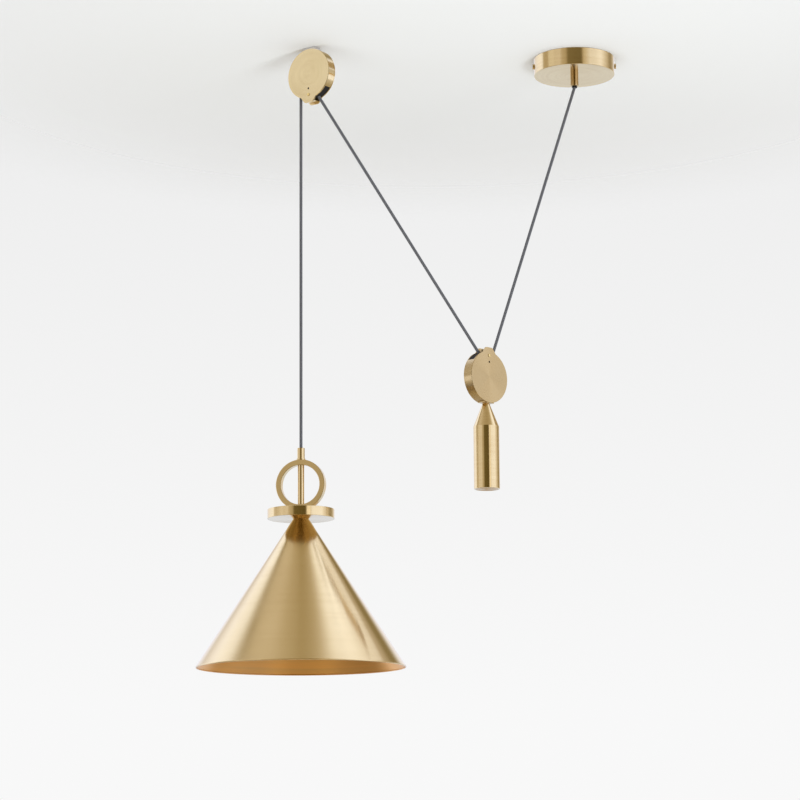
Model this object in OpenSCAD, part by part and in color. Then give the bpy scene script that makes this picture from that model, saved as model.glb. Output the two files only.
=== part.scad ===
// Rise and fall pendant: a canopy, a ceiling pulley, a counterweight on a moving pulley and a
// cone lamp head, all on one cord. Millimetres. Origin: centre of the canopy on the ceiling
// plane, +Z up, +X to the right and +Y away from the person who looks at the front.

/* [Layout] */
// Sideways distance from the canopy to the ceiling pulley
ceiling_pulley_x = 392.5; // [300:1:600]
// Distance of the ceiling pulley in front of the canopy
ceiling_pulley_front = 62; // [0:1:100]
// Turn of the ceiling pulley about the vertical
ceiling_pulley_turn = 35.8; // [0:0.1:60]
// Sideways distance from the canopy to the counterweight
weight_x = 140; // [100:1:220]
// Distance of the counterweight in front of the canopy
weight_front = 26; // [0:1:60]
// Depth of the weight pulley centre below the ceiling
weight_drop = 490.7; // [350:1:700]
// Turn of the weight pulley about the vertical
weight_turn = 44.8; // [0:0.1:60]
// Depth of the top of the lamp head below the ceiling
lamp_drop = 597.1; // [450:1:1200]

/* [Cord] */
// Cord diameter
cord_d = 4.4; // [3:0.1:5]
// Bend radius in cord diameters
cord_bend_ratio = 4; // [4:0.1:5]
// Gap round the cord in a guide
cord_gap = 0.35; // [0.2:0.05:0.6]
// Diameter of one insulated conductor
wire_d = 1.3; // [1:0.1:1.4]

/* [Canopy] */
// Canopy diameter
canopy_d = 120.5; // [100:0.5:150]
// Canopy height
canopy_h = 25.3; // [22:0.1:40]
// Canopy wall
canopy_wall = 1.2; // [0.8:0.1:2]
// Edge chamfer of the canopy
canopy_edge = 0.5; // [0.2:0.1:1]
// Width of the ceiling strap
strap_w = 20; // [16:1:26]
// Thickness of the ceiling strap
strap_t = 2; // [1.5:0.1:3]
// Length of the bent ends of the strap
strap_tab = 16; // [14:1:18]
// Distance between the two ceiling screw holes
strap_hole_spacing = 70; // [60:1:80]
// Diameter of the ceiling screw holes
strap_hole_d = 4.5; // [4:0.1:5.5]
// Depth of the side screws below the ceiling
side_screw_z = 11; // [9:0.5:13]
// Side screw thread diameter
side_screw_d = 4; // [3:0.5:5]
// Side screw head diameter
side_screw_head_d = 8; // [6:0.5:10]
// Side screw head height
side_screw_head_h = 2.4; // [1.5:0.1:3]
// Side screw hole clearance
side_screw_gap = 0.3; // [0.2:0.1:0.5]
// Reach of the side screws past the inside of the strap
side_screw_in = 1; // [0.5:0.5:2]
// Gap between the strap's ends and the canopy wall
strap_gap = 0.3; // [0.2:0.1:0.5]
// Gap between a screw head and the curved wall behind it
head_gap = 0.1; // [0.05:0.05:0.2]

/* [Canopy cord grip] */
// Grip diameter
grip_d = 12; // [11:0.5:16]
// Grip length below the canopy
grip_h = 16.5; // [12:0.5:24]
// Grip stub diameter
stub_d = 9.8; // [9:0.1:10.5]
// Grip stub length above the canopy floor
stub_h = 7; // [6:0.5:9]
// Nut height
nut_h = 4; // [3:0.5:5]
// Nut width across the flats
nut_flats = 14; // [13:0.5:16]
// Bush diameter
bush_d = 8; // [7.5:0.1:9]
// Bush depth inside the grip
bush_in = 4; // [3:0.5:6]
// Bush length below the grip
bush_out = 2.4; // [1.5:0.1:3]
// Flare of the bush's mouth on the radius
bush_flare = 1.3; // [1:0.1:1.5]
// Step of the bush below the grip on the radius
bush_step = 0.3; // [0.2:0.1:0.4]
// Depth of the riser's corner below the grip
riser_corner = 1.5; // [1:0.1:2]
// Cord length above the grip stub
cord_above = 1.5; // [1:0.5:3]

/* [Terminal block] */
// Block length along the strap
block_l = 20; // [17:0.5:20]
// Block width
block_w = 17; // [15:1:18]
// Block height
block_h = 11; // [9:0.5:13]
// Distance of the block from the canopy centre
block_x = 20; // [19.5:0.1:20.2]
// Spacing of the three ways
way_pitch = 5; // [4.5:0.1:5.5]
// Wire hole diameter
way_hole_d = 3.4; // [3.2:0.1:3.6]
// Height of the wire holes above the underside of the block
way_z = 4; // [3.5:0.1:4.5]
// Terminal screw diameter
way_screw_d = 2.6; // [2:0.1:3]
// Terminal screw length
way_screw_h = 2; // [1:0.1:2]
// Distance of the terminal screws from the block ends
way_screw_in = 5; // [4:0.5:6]
// Depth of the terminal screws inside the underside of the block
way_screw_sunk = 0.3; // [0.2:0.1:0.5]
// Peg diameter that holds the block to the strap
block_peg_d = 3; // [2:0.5:3.5]
// Length of wire inside the block
wire_in = 1.5; // [1:0.1:2]
// Bend radius of the conductors
wire_bend = 4.5; // [4:0.1:4.8]
// Gap between the conductors and the surface of the cord
wire_gap = 0.1; // [0.1:0.05:0.2]

/* [Pulley housings] */
// Housing radius
housing_r = 38; // [34:0.5:44]
// Housing thickness
housing_t = 16; // [15:0.5:20]
// Thickness of the front and back cheeks
cheek_t = 2; // [1.5:0.1:2.5]
// Rim wall
rim_t = 1.6; // [1.2:0.1:2]
// Edge chamfer of the cheeks
cheek_edge = 0.4; // [0.2:0.1:0.6]
// Hub boss diameter
boss_d = 12; // [10:0.5:14]
// Hub boss height
boss_h = 1.3; // [1:0.1:1.5]
// Reach of the lug beyond the housing
lug_out = 6; // [4:0.5:8]
// Lug width at its root
lug_root = 27; // [24:1:30]
// Lug width between the centres of its corners
lug_top = 9; // [7:0.5:12]
// Lug corner radius
lug_corner = 5; // [4:0.5:6]
// Half angle of the lug block
lug_angle = 11.5; // [10:0.5:12]
// Half angle where the cord slots end
slot_angle = 52; // [48:1:60]
// Distance of the lug screw inside the housing's edge
lug_screw_in = 6; // [4:0.5:7]
// Lug screw diameter
lug_screw_d = 3; // [2:0.5:3.5]
// Lug screw head diameter
lug_screw_head_d = 4.6; // [4:0.1:6]
// Lug screw head height
lug_screw_head_h = 0.9; // [0.6:0.1:1.2]
// Distance of the friction screw inside the wheel's edge
friction_screw_in = 2.2; // [1.8:0.1:2.6]
// Friction screw diameter
friction_screw_d = 3; // [2:0.5:3.5]
// Depth of the friction screw below the face
friction_screw_sunk = 0.8; // [0.4:0.1:1]
// Friction screw length
friction_screw_l = 2.1; // [2:0.1:2.2]

/* [Pulley wheels] */
// Distance of the cord's centreline on the wheel inside the housing's edge
wheel_in = 18; // [16:0.5:19]
// Flange height above the cord's centreline
flange_h = 4.6; // [3:0.1:5]
// Wheel width
wheel_w = 9; // [8:0.1:9.2]
// Wheel groove clearance
groove_gap = 0.15; // [0.1:0.05:0.3]
// Axle diameter
axle_d = 5; // [4:0.5:6]
// Axle running clearance on the radius
axle_gap = 0.04; // [0.02:0.01:0.08]
// Depth of the axle in each cheek
axle_in = 1; // [0.8:0.1:1.2]

/* [Cord guides] */
// Gap between a guide and the wheel flange
guide_wheel_gap = 1.6; // [1.4:0.1:2]
// Recess of a guide below the rim
guide_recess = 0.6; // [0.2:0.1:1]
// Distance of the cord's corner inside the housing's edge
corner_in = 5; // [4:0.5:6]
// Angle of the slanted cord's corner at the ceiling pulley
corner_ceiling = 18.3; // [18:0.1:19]
// Angle of the slanted cord's corner at the weight pulley
corner_slant = 18.3; // [18:0.1:19]
// Angle of the riser's corner at the weight pulley
corner_riser = 23; // [22:0.5:25]
// Gap on each side between guide and cheek
guide_side_gap = 0.1; // [0.05:0.05:0.2]
// Distance of the drop's upper end inside the housing's edge
drop_in = 3.5; // [2:0.5:5]

/* [Ceiling foot] */
// Foot width
foot_w = 22; // [18:1:24]
// Gap between the housing and the ceiling
foot_gap = 2.5; // [2:0.5:4]
// Height of the foot inside the housing's edge
foot_h = 9; // [7:0.5:10]
// Ceiling screw hole diameter in the foot
foot_hole_d = 4.5; // [4:0.1:5]
// Height of the foot screws above the foot's underside
foot_screw_up = 4; // [3:0.5:5]
// Foot screw diameter
foot_screw_d = 3; // [2:0.5:3]
// Foot screw head diameter
foot_screw_head_d = 5; // [4:0.5:5.5]
// Foot screw spacing
foot_screw_spacing = 15; // [14:0.5:16]

/* [Counterweight] */
// Weight diameter
weight_d = 38; // [32:0.5:44]
// Neck diameter
neck_d = 10.5; // [9:0.5:14]
// Neck height
neck_h = 0.8; // [0.5:0.1:3]
// Cone height
weight_cone_h = 34; // [24:1:50]
// Cylinder height
weight_cyl_h = 91.8; // [60:1:120]
// Chamfer at the bottom of the weight
weight_edge = 0.4; // [0.2:0.1:1]
// Wall of the weight shell
weight_wall = 2; // [1.5:0.1:3]
// Thickness of the end plug
plug_t = 3; // [2:0.5:5]
// Stud diameter
stud_d = 6; // [5:0.5:7]
// Stud length inside the weight
stud_in = 22; // [18:1:28]
// Depth of the ballast below the cone
ballast_gap = 1; // [0.5:0.5:4]
// Yoke width
yoke_w = 22; // [18:1:24]
// Height of the yoke inside the housing's edge
yoke_h = 10; // [8:0.5:10]

/* [Lamp head] */
// Collar diameter
collar_d = 11; // [10.5:0.5:14]
// Collar height
collar_h = 17.6; // [14:0.1:22]
// Collar flange diameter
collar_flange_d = 13; // [12.5:0.5:16]
// Collar flange height
collar_flange_h = 2; // [1:0.5:3]
// Depth of the collar's cord hole, down to the threaded tube
collar_cord_h = 5; // [4:0.5:7]
// Ring outer diameter
ring_d = 73; // [60:1:90]
// Ring wall
ring_wall = 7.75; // [6:0.25:10]
// Ring depth
ring_depth = 10; // [8:0.5:12.5]
// Turn of the ring about the vertical
ring_turn = 14; // [0:1:45]
// Threaded tube diameter
tube_d = 7.8; // [7.6:0.1:8.2]
// Threaded tube bore
tube_bore = 5.4; // [5.2:0.1:5.6]
// Sleeve diameter
sleeve_d = 9.4; // [9.2:0.1:12]
// Reach of the threaded tube into the lampholder's cap
tube_out = 1.5; // [1:0.5:3]
// Length of cord below the threaded tube
lamp_cord_out = 2; // [1:0.5:3]
// Gap between sleeve and tube
sleeve_gap = 0.15; // [0.1:0.05:0.2]
// Plate diameter
plate_d = 97; // [80:1:120]
// Plate height
plate_h = 13.6; // [10:0.1:20]
// Plate wall
plate_wall = 1; // [0.8:0.1:1.5]
// Plate base thickness
plate_base_t = 1.5; // [1:0.1:2.5]
// Plate edge chamfer
plate_edge = 0.4; // [0.2:0.1:0.6]
// Gap round the plate base
plate_base_gap = 0.05; // [0.02:0.01:0.1]
// Diameter of the boss on the plate base
plate_boss_d = 16; // [12:1:24]

/* [Shade] */
// Shade diameter
shade_d = 300; // [220:1:400]
// Shade height
shade_h = 212.5; // [160:1:280]
// Diameter at the top of the shade
shade_top_d = 22.6; // [22:0.1:30]
// Shade wall measured level
shade_wall = 1.2; // [0.9:0.1:1.6]
// Thickness of the shade's top
shade_top_t = 1.2; // [1:0.1:2]
// Radius of the bead on the shade's lip
lip_r = 1; // [0.8:0.1:1.6]
// Shade nut height
shade_nut_h = 4; // [3:0.5:5]
// Shade nut width across the flats
shade_nut_flats = 13; // [12:0.5:14]

/* [Lampholder] */
// Lampholder diameter
holder_d = 40; // [38:0.5:44]
// Diameter at the top of the cap
holder_cap_top_d = 17; // [16:0.5:18]
// Height of the cap's slope
holder_cap_slope = 18; // [17:0.5:20]
// Height of the cap
holder_cap_h = 27; // [25:1:30]
// Height of the body
holder_body_h = 34; // [32:1:38]
// Wall of cap and body
holder_wall = 1.8; // [1.5:0.1:2.2]
// Chamfer at the bottom of the body
holder_edge = 1; // [0.5:0.1:1.5]
// Inner diameter of the threaded shell
socket_d = 26.6; // [26.4:0.1:26.8]
// Wall of the threaded shell
socket_wall = 0.5; // [0.3:0.1:0.8]
// Length of the threaded shell
socket_h = 20.5; // [20:0.5:24]
// Gap between the centre contact and the upper edge of the shell
shell_gap = 0.5; // [0.3:0.1:1]
// Diameter of the ceramic insert
insert_d = 35; // [34:0.5:36]
// Thickness of the ceramic insert
insert_t = 6; // [5:0.5:7]
// Centre contact diameter
contact_d = 5; // [4:0.5:6]
// Centre contact height
contact_h = 3; // [2:0.5:4]
// Spacing of the holder terminals
holder_way_spacing = 20; // [18:1:22]
// Diameter of the holder terminals
holder_way_d = 5; // [4:0.5:6]
// Height of the holder terminals
holder_way_h = 5; // [4:0.5:6]

/* [Hidden] */
$fn = 96;
fine = 160;
eps = 0.01;
// laps make the runs and bends of a cord one solid; the gap parts cords on moving bodies
lap = 0.3;
bend_thin = 0.04;
cord_end_gap = 0.05;
rim_step = 0.1;
// a cutter reaches past the solid that it cuts by this
over = 1;
brass = [0.79, 0.67, 0.45];
iron = [0.30, 0.30, 0.31];
copper_gold = [0.72, 0.50, 0.24];
steel = [0.72, 0.73, 0.75];
black = [0.07, 0.07, 0.08];
cord_grey = [0.27, 0.27, 0.28];
porcelain = [0.93, 0.92, 0.88];
brown = [0.36, 0.20, 0.11];
blue = [0.12, 0.28, 0.62];
green = [0.35, 0.60, 0.15];

up = [0, 0, 1];
cord_r = cord_d / 2;
wheel_r = housing_r - wheel_in;
corner_r = housing_r - corner_in;
lug_screw_r = housing_r - lug_screw_in;
foot_in = housing_r - foot_h;
yoke_in = housing_r - yoke_h;
bend_r = cord_bend_ratio * cord_d;
channel_r = cord_r + cord_gap;

ceiling_centre = [-ceiling_pulley_x, -ceiling_pulley_front, -housing_r - foot_gap];
weight_centre = [-weight_x, -weight_front, -weight_drop];
function turned_x(a) = [cos(a), sin(a), 0];
ceiling_x = turned_x(-ceiling_pulley_turn);
weight_tx = turned_x(weight_turn);

gap_in = housing_t - 2 * cheek_t;
inner_y = gap_in / 2;
face_y = housing_t / 2;
flange_r = wheel_r + flange_h;
friction_screw_r = flange_r - friction_screw_in;
guide_in_r = flange_r + guide_wheel_gap;
guide_out_r = housing_r - guide_recess;
axle_l = gap_in + 2 * axle_in;
lug_block_out = housing_r + lug_out - lug_corner / 2;

// corners of the cord, where two straight runs would meet
corner_a = ceiling_centre + corner_r * (sin(corner_ceiling) * ceiling_x - cos(corner_ceiling) * up);
corner_b = weight_centre + corner_r * (-sin(corner_slant) * weight_tx + cos(corner_slant) * up);
corner_c = weight_centre + corner_r * (sin(corner_riser) * weight_tx + cos(corner_riser) * up);
canopy_floor = -canopy_h;
grip_end = canopy_floor - grip_h;
corner_d = [0, 0, grip_end - riser_corner];

function unit(v) = v / norm(v);
function turn_of(u, v) = acos(u * v);
function run_of(u, v) = bend_r * tan(turn_of(u, v) / 2);
// angle on the wheel where a straight run from the corner touches it
function touch_angle(p, c, tx, side) =
    atan2((p - c)[2], (p - c) * tx) + side * acos(wheel_r / norm([(p - c) * tx, (p - c)[2]]));
function on_wheel(c, tx, a) = c + wheel_r * (cos(a) * tx + sin(a) * up);

touch_a = touch_angle(corner_a, ceiling_centre, ceiling_x, 1);
touch_b = touch_angle(corner_b, weight_centre, weight_tx, 1);
touch_c = touch_angle(corner_c, weight_centre, weight_tx, -1) + 360;
point_a = on_wheel(ceiling_centre, ceiling_x, touch_a);
point_b = on_wheel(weight_centre, weight_tx, touch_b);
point_c = on_wheel(weight_centre, weight_tx, touch_c);
in_a = unit(corner_a - point_a);
in_b = unit(corner_b - point_b);
in_c = unit(corner_c - point_c);
slant_dir = unit(corner_b - corner_a);
riser_dir = unit(corner_d - corner_c);
start_a = corner_a - in_a * run_of(in_a, slant_dir);
end_a = corner_a + slant_dir * run_of(in_a, slant_dir);
start_b = corner_b - in_b * run_of(in_b, -slant_dir);
end_b = corner_b - slant_dir * run_of(in_b, -slant_dir);
start_c = corner_c - in_c * run_of(in_c, riser_dir);
end_c = corner_c + riser_dir * run_of(in_c, riser_dir);
start_d = corner_d + up * run_of(-up, -riser_dir);
end_d = corner_d - riser_dir * run_of(-up, -riser_dir);

drop_xy = ceiling_centre - wheel_r * ceiling_x;
drop_top = ceiling_centre[2] - housing_r + drop_in;
lamp_top = -lamp_drop;
drop_start = [drop_xy[0], drop_xy[1], drop_top];
drop_end = [drop_xy[0], drop_xy[1], lamp_top];

ring_r = ring_d / 2;
ring_in_r = ring_r - ring_wall;
ring_seat = sqrt(ring_r * ring_r - collar_flange_d * collar_flange_d / 4);
ring_z = -collar_h - ring_seat;
sleeve_half = sqrt(ring_in_r * ring_in_r - sleeve_d * sleeve_d / 4);
plate_top = ring_z - ring_seat;
plate_bottom = plate_top - plate_h;
shade_under = plate_bottom - shade_top_t;
nut_under = shade_under - shade_nut_h;
holder_top = nut_under;
body_top = holder_top - holder_cap_h;
body_bottom = body_top - holder_body_h;
insert_top = body_top;
insert_bottom = body_top - insert_t;
shell_top = insert_bottom - contact_h - shell_gap;
tube_top = -collar_cord_h;
tube_bottom = holder_top - holder_wall - tube_out;
lamp_cord_end = tube_bottom - lamp_cord_out;
cord_up_end = canopy_floor + canopy_wall + stub_h + cord_above;
block_top = -strap_t;
block_bottom = block_top - block_h;
plate_base_r = plate_d / 2 - plate_wall - plate_base_gap;
strap_half = canopy_d / 2 - canopy_wall - strap_gap;
core_r = cord_r - wire_d / 2 - wire_gap;
function core_at(a, z) = [core_r * cos(a), core_r * sin(a), z];

lug_r = lug_corner;
lug_cx = lug_top / 2;
lug_cz = housing_r + lug_out - lug_corner;
lug_root_z = sqrt(housing_r * housing_r - lug_root * lug_root / 4);
lug_vec = [lug_cx - lug_root / 2, lug_cz - lug_root_z];
lug_len = norm(lug_vec);
lug_dir = atan2(lug_vec[1], lug_vec[0]) - asin(lug_r / lug_len);
lug_run = sqrt(lug_len * lug_len - lug_r * lug_r);
lug_touch = [lug_root / 2 + lug_run * cos(lug_dir), lug_root_z + lug_run * sin(lug_dir)];

weight_top = -housing_r;
cone_end = weight_top - neck_h - weight_cone_h;
weight_bottom = cone_end - weight_cyl_h;
bore_r = weight_d / 2 - weight_wall;
shade_slope = (shade_d - shade_top_d) / 2 / shade_h;

// ---- shared shapes ----
// straight run from a to b, reaching past each end by a lap where it joins a bend
module between(a, b, d, lap_a = 0, lap_b = 0) {
    v = b - a;
    translate(a - unit(v) * lap_a)
        rotate([0, acos(v[2] / norm(v)), atan2(v[1], v[0])])
            cylinder(h = norm(v) + lap_a + lap_b, d = d);
}

// part of a torus that joins two straight runs, from the point where the first run ends
module bend(start, u, v, r, d) {
    p = unit(v - (u * v) * u);
    n = cross(u, p);
    c = start + r * p;
    multmatrix([
        [-p[0], u[0], n[0], c[0]],
        [-p[1], u[1], n[1], c[1]],
        [-p[2], u[2], n[2], c[2]],
        [0, 0, 0, 1]
    ])
        rotate_extrude(angle = turn_of(u, v), $fn = fine)
            translate([r, 0])
                circle(d = d - bend_thin, $fn = 32);
}

// part of a torus in the plane of a pulley
module wheel_wrap(a, sweep, d) {
    rotate([90, 0, 0])
        rotate([0, 0, a])
            rotate_extrude(angle = sweep, $fn = fine)
                translate([wheel_r, 0])
                    circle(d = d - bend_thin, $fn = 32);
}

module tube_z(z1, z2, d_out, d_in) {
    difference() {
        translate([0, 0, z2])
            cylinder(h = z1 - z2, d = d_out);
        translate([0, 0, z2 - eps])
            cylinder(h = z1 - z2 + 2 * eps, d = d_in);
    }
}

module hex_nut(z1, h, flats, d_in) {
    difference() {
        translate([0, 0, z1 - h])
            cylinder(h = h, d = flats / cos(30), $fn = 6);
        translate([0, 0, z1 - h - eps])
            cylinder(h = h + 2 * eps, d = d_in);
    }
}

module at_ceiling_pulley() {
    translate(ceiling_centre)
        rotate([0, 0, -ceiling_pulley_turn])
            children();
}

module at_weight_pulley() {
    translate(weight_centre)
        rotate([0, 0, weight_turn])
            children();
}

module at_lamp() {
    translate([drop_xy[0], drop_xy[1], lamp_top])
        children();
}

// bar along the pulley's axle, from y1 to y2, at x and z
module bar_y(x, z, y1, y2, d) {
    translate([x, y1, z])
        rotate([-90, 0, 0])
            cylinder(h = y2 - y1, d = d);
}

// flat sector in the pulley's plane; angles run from +X towards +Z
module sector(a, sweep, r1, r2, w) {
    rotate([90, 0, 0])
        rotate([0, 0, a])
            rotate_extrude(angle = sweep, $fn = fine)
                translate([r1, -w / 2])
                    square([r2 - r1, w]);
}

// ---- pulley parts, drawn with the lug at the bottom ----

module lug(y1, y2) {
    for (side = [-1, 1]) {
        bar_y(side * lug_cx, -lug_cz, y1, y2, 2 * lug_r);
    }
    translate([0, y2, 0])
        rotate([90, 0, 0])
            linear_extrude(height = y2 - y1)
                polygon([
                    [-lug_root / 2, -lug_root_z],
                    [-lug_touch[0], -lug_touch[1]],
                    [-lug_cx, -lug_cz - lug_r],
                    [lug_cx, -lug_cz - lug_r],
                    [lug_touch[0], -lug_touch[1]],
                    [lug_root / 2, -lug_root_z],
                    [0, -housing_r / 2]
                ]);
}

// round cheek between y1 and y2 with its outer edge chamfered on the open side
module cheek(y1, y2, open_side) {
    e = cheek_edge;
    low = open_side < 0 ? e : 0;
    high = open_side > 0 ? e : 0;
    translate([0, y2, 0])
        rotate([90, 0, 0])
            rotate_extrude($fn = fine)
                polygon([
                    [0, 0],
                    [housing_r - high, 0],
                    [housing_r, high],
                    [housing_r, y2 - y1 - low],
                    [housing_r - low, y2 - y1],
                    [0, y2 - y1]
                ]);
}

module housing_cup(notch_w, notch_z) {
    difference() {
        union() {
            cheek(-face_y, -inner_y, -1);
            lug(-face_y, -inner_y);
            translate([0, -cheek_t / 4, 0])
                sector(
                    -90 + slot_angle,
                    360 - 2 * slot_angle,
                    housing_r - rim_t,
                    housing_r - rim_step,
                    gap_in + cheek_t / 2
                );
            bar_y(0, 0, -inner_y - eps, -inner_y + boss_h, boss_d);
        }
        bar_y(0, 0, -inner_y - axle_in, inner_y, axle_d);
        bar_y(0, -lug_screw_r, -face_y - over, 0, lug_screw_d);
        bar_y(0, -friction_screw_r, -face_y - over, 0, friction_screw_d);
        translate([-notch_w / 2, -inner_y, notch_z])
            cube([notch_w, gap_in + over, housing_r]);
    }
}

module housing_cover(screw_z) {
    difference() {
        union() {
            cheek(inner_y, face_y, 1);
            lug(inner_y, face_y);
            bar_y(0, 0, inner_y - boss_h, inner_y + eps, boss_d);
        }
        bar_y(0, 0, 0, inner_y + axle_in, axle_d);
        bar_y(0, -lug_screw_r, 0, face_y + over, lug_screw_d);
        for (side = [-1, 1]) {
            bar_y(
                side * foot_screw_spacing / 2,
                screw_z,
                inner_y - over,
                face_y + over,
                foot_screw_d
            );
        }
    }
}

module wheel() {
    difference() {
        bar_y(0, 0, -wheel_w / 2, wheel_w / 2, 2 * flange_r);
        rotate([90, 0, 0])
            rotate_extrude($fn = fine)
                translate([wheel_r, 0])
                    circle(r = cord_r + groove_gap, $fn = 48);
        rotate([90, 0, 0])
            difference() {
                cylinder(h = 2 * (cord_r + groove_gap), r = flange_r + over, center = true);
                cylinder(h = 4 * (cord_r + groove_gap), r = wheel_r, center = true);
            }
        bar_y(0, 0, -wheel_w, wheel_w, axle_d + 2 * axle_gap);
    }
}

module axle() {
    bar_y(0, 0, -axle_l / 2, axle_l / 2, axle_d);
}

module lug_block() {
    difference() {
        sector(-90 - lug_angle, 2 * lug_angle, guide_in_r, lug_block_out, gap_in);
        bar_y(0, -lug_screw_r, -face_y, face_y, lug_screw_d);
    }
}

module lug_screw() {
    bar_y(0, -lug_screw_r, -face_y, face_y, lug_screw_d);
    bar_y(0, -lug_screw_r, -face_y - lug_screw_head_h, -face_y, lug_screw_head_d);
}

module friction_screw() {
    y1 = -face_y + friction_screw_sunk;
    difference() {
        bar_y(0, -friction_screw_r, y1, y1 + friction_screw_l, friction_screw_d);
        translate([0, y1 + friction_screw_l / 2, -friction_screw_r])
            rotate([90, 0, 0])
                cylinder(h = friction_screw_l, d = friction_screw_d / 2, $fn = 6);
    }
}

// guide blocks beside the lug; side -1 is the left one
module guide_blank(side) {
    a = side < 0 ? -90 - slot_angle : -90 + lug_angle;
    sector(a, slot_angle - lug_angle, guide_in_r, guide_out_r, gap_in - 2 * guide_side_gap);
}

module cheek_block(w, z1, z2) {
    translate([-w / 2, -inner_y, z1])
        cube([w, gap_in, z2 - z1]);
}

module block_screws(z) {
    for (side = [-1, 1]) {
        x = side * foot_screw_spacing / 2;
        bar_y(x, z, 0, face_y, foot_screw_d);
        bar_y(x, z, face_y, face_y + lug_screw_head_h, foot_screw_head_d);
    }
}

module screw_holes(z) {
    for (side = [-1, 1]) {
        bar_y(side * foot_screw_spacing / 2, z, 0, inner_y + over, foot_screw_d);
    }
}

// ---- canopy ----
module canopy_cup() {
    color(brass)
        difference() {
            rotate_extrude($fn = fine)
                polygon([
                    [0, canopy_floor],
                    [canopy_d / 2 - canopy_edge, canopy_floor],
                    [canopy_d / 2, canopy_floor + canopy_edge],
                    [canopy_d / 2, 0],
                    [canopy_d / 2 - canopy_wall, 0],
                    [canopy_d / 2 - canopy_wall, canopy_floor + canopy_wall],
                    [0, canopy_floor + canopy_wall]
                ]);
            translate([0, 0, canopy_floor - over])
                cylinder(h = canopy_wall + 2 * over, d = stub_d);
            translate([-canopy_d, 0, -side_screw_z])
                rotate([0, 90, 0])
                    cylinder(h = 2 * canopy_d, d = side_screw_d + 2 * side_screw_gap);
        }
}

module ceiling_strap() {
    color(steel)
        difference() {
            union() {
                translate([-strap_half + over, -strap_w / 2, -strap_t])
                    cube([2 * strap_half - 2 * over, strap_w, strap_t]);
                for (side = [-1, 1]) {
                    intersection() {
                        translate([side * (strap_half - strap_t) - strap_t, -strap_w / 2, -strap_tab])
                            cube([2 * strap_t, strap_w, strap_tab]);
                        translate([0, 0, -strap_tab])
                            tube_z(strap_tab, 0, 2 * strap_half, 2 * (strap_half - strap_t));
                    }
                }
            }
            for (side = [-1, 1]) {
                translate([side * strap_hole_spacing / 2, 0, -strap_t - over])
                    cylinder(h = strap_t + 2 * over, d = strap_hole_d);
            }
            translate([block_x, 0, -strap_t - over])
                cylinder(h = strap_t + 2 * over, d = block_peg_d);
            translate([-canopy_d, 0, -side_screw_z])
                rotate([0, 90, 0])
                    cylinder(h = 2 * canopy_d, d = side_screw_d);
        }
}

module side_screws() {
    head_x = canopy_d / 2 + head_gap;
    end_x = strap_half - strap_t - side_screw_in;
    color(brass)
        for (side = [0, 180]) {
            rotate([0, 0, side])
                translate([0, 0, -side_screw_z])
                    rotate([0, 90, 0]) {
                        translate([0, 0, end_x])
                            cylinder(h = head_x - end_x + lap, d = side_screw_d);
                        translate([0, 0, head_x])
                            cylinder(h = side_screw_head_h, d = side_screw_head_d);
                    }
        }
}

module cord_grip() {
    color(brass)
        difference() {
            union() {
                translate([0, 0, grip_end])
                    cylinder(h = grip_h, d = grip_d);
                translate([0, 0, canopy_floor - eps])
                    cylinder(h = canopy_wall + stub_h + eps, d = stub_d);
            }
            translate([0, 0, grip_end - over])
                cylinder(h = grip_h + canopy_wall + stub_h + 2 * over, r = channel_r);
            translate([0, 0, grip_end - over])
                cylinder(h = bush_in + over, d = bush_d);
        }
}

module cord_grip_nut() {
    color(brass)
        hex_nut(canopy_floor + canopy_wall + nut_h, nut_h, nut_flats, stub_d);
}

module cord_grip_bush() {
    color(black)
        difference() {
            tube_z(grip_end + bush_in, grip_end - bush_out, bush_d, 2 * channel_r);
            translate([0, 0, grip_end - bush_out - eps])
                cylinder(h = bush_out + over, r1 = cord_r + bush_flare, r2 = channel_r);
            tube_z(grip_end, grip_end - bush_out - over, bush_d + 2 * over, bush_d - 2 * bush_step);
        }
}

module terminal_block() {
    color(porcelain)
        difference() {
            union() {
                translate([block_x - block_l / 2, -block_w / 2, block_bottom])
                    cube([block_l, block_w, block_h]);
                translate([block_x, 0, block_top - eps])
                    cylinder(h = strap_t + eps, d = block_peg_d);
            }
            for (way = [-1, 0, 1]) {
                translate([block_x - block_l, way * way_pitch, block_bottom + way_z])
                    rotate([0, 90, 0])
                        cylinder(h = 2 * block_l, d = way_hole_d);
                for (side = [-1, 1]) {
                    translate([
                        block_x + side * (block_l / 2 - way_screw_in),
                        way * way_pitch,
                        block_bottom - over
                    ])
                        cylinder(h = way_z + over, d = way_screw_d);
                }
            }
        }
}

module terminal_screws() {
    color(steel)
        for (way = [-1, 0, 1]) {
            for (side = [-1, 1]) {
                translate([
                    block_x + side * (block_l / 2 - way_screw_in),
                    way * way_pitch,
                    block_bottom + way_screw_sunk
                ])
                    cylinder(h = way_screw_h, d = way_screw_d);
            }
        }
}

// one conductor: up out of the cord, one bend, then along to its terminal
module one_bend_wire(a, corner, b, r) {
    u = unit(corner - a);
    v = unit(b - corner);
    run = r * tan(turn_of(u, v) / 2);
    between(a, corner - u * run, wire_d, 0, lap);
    bend(corner - u * run, u, v, r, wire_d);
    between(corner + v * run, b, wire_d, lap, 0);
}

module canopy_wire(a, way) {
    start = core_at(a, cord_up_end);
    level = block_bottom + way_z;
    one_bend_wire(
        start,
        [start[0], start[1], level],
        [block_x - block_l / 2 + wire_in, way * way_pitch, level],
        wire_bend
    );
}

module live_wire() {
    color(brown)
        canopy_wire(-120, -1);
}

module neutral_wire() {
    color(blue)
        canopy_wire(120, 1);
}

module earth_wire() {
    color(green)
        canopy_wire(0, 0);
}

// ---- ceiling pulley ----
module ceiling_pulley_cup() {
    color(brass)
        at_ceiling_pulley()
            housing_cup(foot_w, foot_in);
}

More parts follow.
